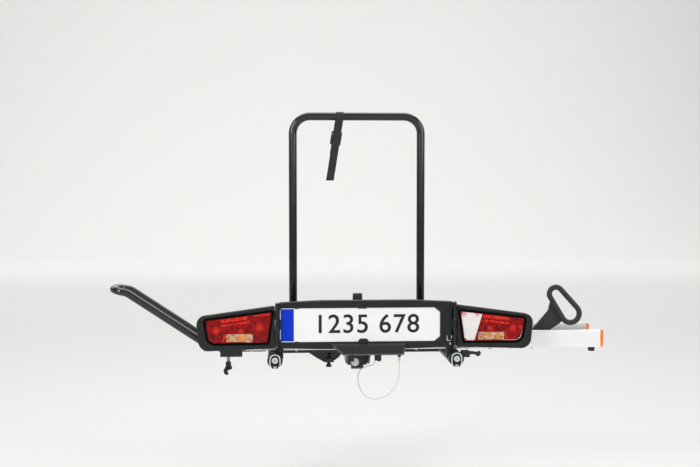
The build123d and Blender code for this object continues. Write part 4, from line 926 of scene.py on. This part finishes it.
# Lock barrels in the plugs of the tubes, each with a key slot
TUBE_X, TUBE_Z = 295.0, 58.0
for side, word in SIDES:
    x = side * TUBE_X
    barrel = bar(f"lock_barrel_{word}", (x, -438, 60), (x, -446.4, 60), 9.8, 40)
    step_side(barrel, REARWARD, ((2.2, -0.7), (1.2, 0.9)))
    cut(barrel, block("key_slot", (x - 1.0, -449, 56), (x + 1.0, -444.6, 63.5)))
    fit(close_piece(barrel, 0.3), f"lock_plug_{word}", zinc_casting)

# Pitch of the screw threads
PITCH = 1.75


def threads(name, x, y, low, high, r):
    """A screw's thread round an upright axis, as a stack of ridges."""
    ridge = bar(name, (x, y, low), (x, y, low + PITCH), r, 28)
    open_piece(ridge, "EDGE", lambda a, b: abs(a.z - b.z) > 0.1)
    bpy.ops.mesh.subdivide(number_cuts=1)
    bpy.ops.object.mode_set(mode="OBJECT")
    open_piece(ridge, "VERT", lambda v: abs(v.z - low - PITCH / 2) < 0.1)
    bpy.ops.transform.resize(value=(1.1, 1.1, 1), center_override=(x * MM, y * MM, 0))
    return repeat(close_piece(ridge), int((high - low) / PITCH), (0, 0, PITCH))


# Rubber strips behind the wing hinges, and the zinc catch before the left one
STRIP_IN, STRIP_OUT = 281, 294.2
for side, word in SIDES:
    left, right = sorted((side * STRIP_IN, side * STRIP_OUT))
    strip = block(f"hinge_strip_{word}", (left, -432, 99), (right, -429, 238))
    step_side(strip, REARWARD, ((2.5, 0.8),))
    fit(close_piece(strip, 0.4), "platform", rubber_and_shade_black)
catch = block("hinge_catch", (-293.5, -434.4, 116), (-289.5, -432.6, 149))
step_side(catch, REARWARD, ((0.9, 0.5),))
fit(close_piece(catch, 0.3), "platform", zinc_plate)

# Zinc bracket, bolt and rubber stop beside the right hinge, and screws in the lower edges of the wings
bracket_corners = [
    (262, 135), (262, 118), (279.5, 118), (279.5, 135), (277, 135), (277, 120.5), (264.5, 120.5),
    (264.5, 135),
]
hinge_bracket = plate("hinge_bracket", bracket_corners, (0,) * 8, -435.5, -437.3)
fit(close_piece(hinge_bracket, 0.3), "platform", zinc_plate)
hinge_bolt = bar("hinge_bolt", (274, -435.5, 109), (274, -439, 109), 4, 6)
fit(close_piece(hinge_bolt, 0.5), "platform", zinc_plate)
stop_block = block("wing_stop", (258.5, -438, 200), (268.5, -435.5, 210))
open_piece(stop_block, "FACE", lambda middle, normal: normal.y < -0.9)
inset(2, -0.8)
bpy.ops.object.mode_set(mode="OBJECT")
fit(close_piece(stop_block, 0.5), "platform", rubber)
for word, x in (("left", -522), ("left", -330), ("right", 475), ("right", 330)):
    screw = bar(f"edge_screw_{word}", (x, -428, 89.2), (x, -428, 94), 3.2, 20)
    fit(close_piece(screw, 0.6), f"wing_{word}", zinc_plate)


# Back of the light board: stiffening ribs
def board_ribs():
    """Upright and level ribs inside the hollow back of the board."""
    ribs = []
    for x in (-215, -160, -100, -40, 20, 80, 140, 200):
        ribs.append(close_piece(block(f"rib_{x}", (x - 1.2, -425.4, 104), (x + 1.2, -411, 241)), 0.4))
    for z in (138, 172, 206):
        ribs.append(close_piece(block(f"level_rib_{z}", (-276, -425.4, z - 1.1), (276, -414, z + 1.1)), 0.4))
    return together("board_ribs", ribs)


fit(board_ribs(), "platform", grained_pp)

# Threads of the hooked clamp screw and of the levelling screw
fit(threads("clamp_threads", -449, -337, 40.5, 58, 5.1), "clamp_screw", zinc_plate)
level_threads = together("level_threads", [
    threads("low_threads", -108, ARCH_Y, -5.5, 3.5, 6.2),
    threads("high_threads", -108, ARCH_Y, 16.5, 37, 6.2),
])
fit(level_threads, "levelling_screw", black_zinc)

# Clamp lever: rounded ribs round its grip
grip_rib = close_piece(block("grip_ribs", (-17.6, -53.6, 181), (17.6, -32.4, 183.6)), 1.1, 3)
fit(repeat(grip_rib, 7, (0, 0, 6)), "clamp_lever", rubber)

# Arch: grey caps in the knobs
for side, word, x in ((-1, "left", -274.4), (1, "right", 256.4)):
    cap = bar(f"knob_cap_{word}", (x - side * 3, ARCH_Y, 190), (x + side * 0.9, ARCH_Y, 190), 8.5, 36)
    step_side(cap, (side, 0, 0), ((1.4, -0.6),))
    fit(close_piece(cap, 0.3), f"arch_knob_{word}", acetal)

# Weld beads round the arch's sockets, along the tubes and on the saddles
BEAD_R, BEAD_STEP = 1.9, 2.4
SOCKETS, SOCKET_R, SOCKET_FOOT = (("left", -232), ("right", 214)), 18.3, 83
TUBE_BEAD_R, SADDLE_BEAD_R = 24.4, 24.6


def bead(name, points, closed=False):
    """A weld bead: a rope of overlapping drops along a line of points, under the paint."""
    drops = []
    path = [Vector(p) for p in points] + ([Vector(points[0])] if closed else [])
    for a, b in zip(path, path[1:]):
        count = max(1, round((b - a).length / BEAD_STEP))
        for n in range(count):
            drops.append(a.lerp(b, n / count))
    bead_pieces = [ball(f"{name}_{n}", place, BEAD_R, 5) for n, place in enumerate(drops)]
    return close_piece(together(name, bead_pieces), smooth=60)


for word, x in SOCKETS:
    turns = [math.tau * n / 24 for n in range(24)]
    circle = [(x + SOCKET_R * math.cos(t), ARCH_Y + SOCKET_R * math.sin(t), SOCKET_FOOT) for t in turns]
    fit(bead(f"socket_bead_{word}", circle, True), "platform", coated_steel)
for side, word in SIDES:
    for y, place in ((-160.4, "rear"), (-119.6, "front")):
        arc = []
        for n in range(9):
            z = 40 + 36 * n / 8
            arc.append((side * (TUBE_X - math.sqrt(TUBE_BEAD_R ** 2 - (z - TUBE_Z) ** 2)), y, z))
        fit(bead(f"tube_bead_{place}_{word}", arc), "platform", coated_steel)
    saddle = [
        (side * x, -400.5, TUBE_Z + math.sqrt(SADDLE_BEAD_R ** 2 - (x - TUBE_X) ** 2))
        for x in (273, 277, 281, 285, 289, 292)
    ]
    fit(bead(f"saddle_bead_{word}", saddle), "platform", coated_steel)

# Strap buckle: a spring cam that bites on the webbing
BUCKLE_PLACE = (-80.9, -123.6, 785)


def turned_to_strap(piece):
    """Turns a piece made flat to the strap's lean and moves it to the buckle's place."""
    piece.data.transform(Matrix.Rotation(STRAP_ANGLE, 4, "Y"))
    piece.data.transform(Matrix.Translation(Vector(BUCKLE_PLACE) * MM))
    return piece


def cam_buckle():
    """Base with two slots, two cheeks, and a cam lever with a ribbed thumb rest."""
    base = block("buckle_base", (-18.5, 0, -23), (18.5, 2.6, 23))
    for low in (12, -19):
        cut(base, block("buckle_slot", (-14.4, -1, low), (14.4, 4, low + 4)))
    parts = [close_piece(base, 0.7)]
    for side in (-1, 1):
        x = side * 17
        cheek = block(f"cheek_{side}", (x - 1.4, 2, -9), (x + 1.4, 8.6, 9))
        parts.append(close_piece(cheek, 0.9))
    lever = block("cam_lever", (-15.2, 3.2, -18), (15.2, 7.4, 7))
    open_piece(lever, "EDGE", lambda a, b: min(a.z, b.z) > 6 or max(a.z, b.z) < -17)
    bpy.ops.mesh.bevel(offset=1.8 * MM, segments=4, affect="EDGES")
    parts.append(close_piece(lever, 0.4))
    for n in range(4):
        z = -15 + 3 * n
        parts.append(close_piece(bar(f"thumb_rib_{n}", (-13, 7.4, z), (13, 7.4, z), 0.9, 12)))
    pin = bar("cam_pin", (-19, 5.4, 3), (19, 5.4, 3), 2.1, 20)
    return turned_to_strap(together("cam_buckle", parts)), turned_to_strap(close_piece(pin, 0.5))


buckle, buckle_pin = cam_buckle()
fit(buckle, "arch", black_nylon)
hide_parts("strap_buckle")
fit(buckle_pin, "arch", zinc_plate)


# Stitching: three rows of thread where the strap is sewn to its own end
def stitches():
    """Short level stitches in three rows across the strap's lower rear end."""
    rows = []
    for row in range(3):
        drop = STRAP_REAR - 12 - 9 * row
        for n in range(6):
            x = STRAP_X - drop * STRAP_LEAN - 10 + 4 * n
            y = strap_rear_y(drop) - STRAP_T / 2 - 0.1
            rows.append(ball(f"stitch_{row}_{n}", (x, y, ARCH_TOP - drop), 0.6, 5, (2.2, 0.7, 1)))
    return close_piece(together("strap_stitches", rows), smooth=60)


fit(stitches(), "arch", thread)

# Washers under the round bolt heads on the channel's floor
washers = []
for n, (x, y) in enumerate(((-295, -304), (-295, -260), (295, -304), (295, -260))):
    washers.append(close_piece(bar(f"washer_{n}", (x, y, 85.9), (x, y, 87.4), 11.5, 36), 0.3))
fit(together("floor_washers", washers), "platform", zinc_plate)


# Rear shells of the wings: cross-slotted screws and a rubber plug in the gland
def shell_screws():
    """Screws of the right wing's rear shell."""
    heads = []
    for n, (x, z) in enumerate(((318, 112), (318, 206), (420, 106), (420, 192), (512, 112), (512, 176))):
        head = bar(f"shell_screw_{n}", (x, -404, z), (x, -400.4, z), 4, 24)
        cut(head, block("slot_a", (x - 2.6, -401.2, z - 0.5), (x + 2.6, -399, z + 0.5)))
        cut(head, block("slot_b", (x - 0.5, -401.2, z - 2.6), (x + 0.5, -399, z + 2.6)))
        heads.append(close_piece(head, 0.4))
    return together("shell_screws_right", heads)


def gland_plug():
    """Stepped rubber plug where the wiring enters the right wing."""
    plug = bar("gland_plug_right", (350, -398, 150), (350, -391, 150), 5.2, 32)
    step_side(plug, (0, 1, 0), ((1.4, 1.6), (0.8, 1.4)))
    return close_piece(plug, 0.4)


for piece, slot_name, surface in ((shell_screws(), "zinc", zinc_plate), (gland_plug(), "rubber", rubber)):
    fit_pair(piece, surface)

# Number plate: blue band, raised edge and plain digits
PLATE_Z, PLATE_FACE = 172.5, -433.0
DIGIT_SIZE, DIGITS_X = 85, 2
band_corners = [(-278, 226.5), (-278, 118.5), (-234, 118.5), (-234, 226.5)]
band = plate("plate_band", band_corners, (7, 7, 0, 0), PLATE_FACE + 0.1, PLATE_FACE - 0.25)
fit(close_piece(band), "platform", blue_film)
edge_corners = [(-278.4, 227), (-278.4, 118), (240.4, 118), (240.4, 227)]
plate_edge = plate("plate_edge", edge_corners, (7.5,) * 4, PLATE_FACE + 0.1, PLATE_FACE - 0.7, 2.2)
fit(close_piece(plate_edge, 0.35), "platform", white_sheet)


def plate_digits():
    """Plain digits, pressed up from the plate and inked black."""
    bpy.ops.object.select_all(action="DESELECT")
    bpy.ops.object.text_add()
    digits = bpy.context.object
    digits.data.body = "1235 678"
    digits.data.size = DIGIT_SIZE * MM
    digits.data.align_x, digits.data.align_y = "CENTER", "CENTER"
    digits.data.extrude = 0.4 * MM
    digits.data.offset = 0.7 * MM
    digits.data.space_character = 1.08
    bpy.ops.object.convert(target="MESH")
    digits = bpy.context.object
    digits.rotation_euler = (math.pi / 2, 0, 0)
    digits.location = (DIGITS_X * MM, (PLATE_FACE - 0.35) * MM, PLATE_Z * MM)
    return close_piece(name_piece("plate_digits"))


fit(plate_digits(), "platform", black_ink)

# Studio, in metres: a floor that curves up into a wall, and light
WALL_Y, WALL_HEIGHT = 14.0, 14.0
bpy.ops.object.select_all(action="DESELECT")
bpy.ops.mesh.primitive_plane_add(size=1, location=(0, 1, -0.38))
bpy.context.object.scale = (40, 26, 1)
floor = name_piece("studio_floor")
open_piece(floor, "EDGE", lambda a, b: min(a.y, b.y) * MM > WALL_Y - 0.1)
push((0, 0, WALL_HEIGHT / MM))
bpy.ops.object.mode_set(mode="OBJECT")
apply_modifier(floor, "BEVEL", width=4.0, segments=12, limit_method="ANGLE", angle_limit=math.radians(30))
bpy.ops.object.shade_smooth()
floor_surface, _, _ = new_surface("pale_studio_floor", Base_Color=linear("#E0E0DE"), Roughness=0.75)
floor.data.materials.append(floor_surface)

world = bpy.data.worlds.new("studio")
bpy.context.scene.world = world
world.use_nodes = True
world.node_tree.nodes["Background"].inputs["Color"].default_value = linear("#FFFFFF")
world.node_tree.nodes["Background"].inputs["Strength"].default_value = 0.34


def soft_light(name, place, target, size, power):
    """A soft rectangular light aimed at a point, in metres."""
    light = bpy.data.lights.new(name, "AREA")
    light.shape = "RECTANGLE"
    light.size, light.size_y = size
    light.energy = power
    holder = new_object(name, light)
    holder.location = place
    holder.rotation_euler = (Vector(target) - Vector(place)).to_track_quat("-Z", "Y").to_euler()


soft_light("key_light", (-3.2, -3.0, 2.2), (0, -0.3, 0.3), (1.0, 2.6), 90)
soft_light("fill_light", (3.4, -2.4, 1.8), (0.2, -0.3, 0.3), (1.0, 2.2), 55)
soft_light("top_light", (0, 0.4, 3.4), (0, -0.1, 0), (4.0, 2.4), 70)
soft_light("front_light", (0.3, -5.6, 1.6), (0, -0.4, 0.1), (5.0, 2.4), 34)
soft_light("floor_light", (0, 6.5, 5.0), (0, 6.6, 0), (18.0, 7.0), 480)
soft_light("wall_light", (0, 8.0, 5.0), (0, 14.0, 3.0), (16.0, 3.0), 330)
bpy.context.scene.view_settings.view_transform = "Standard"
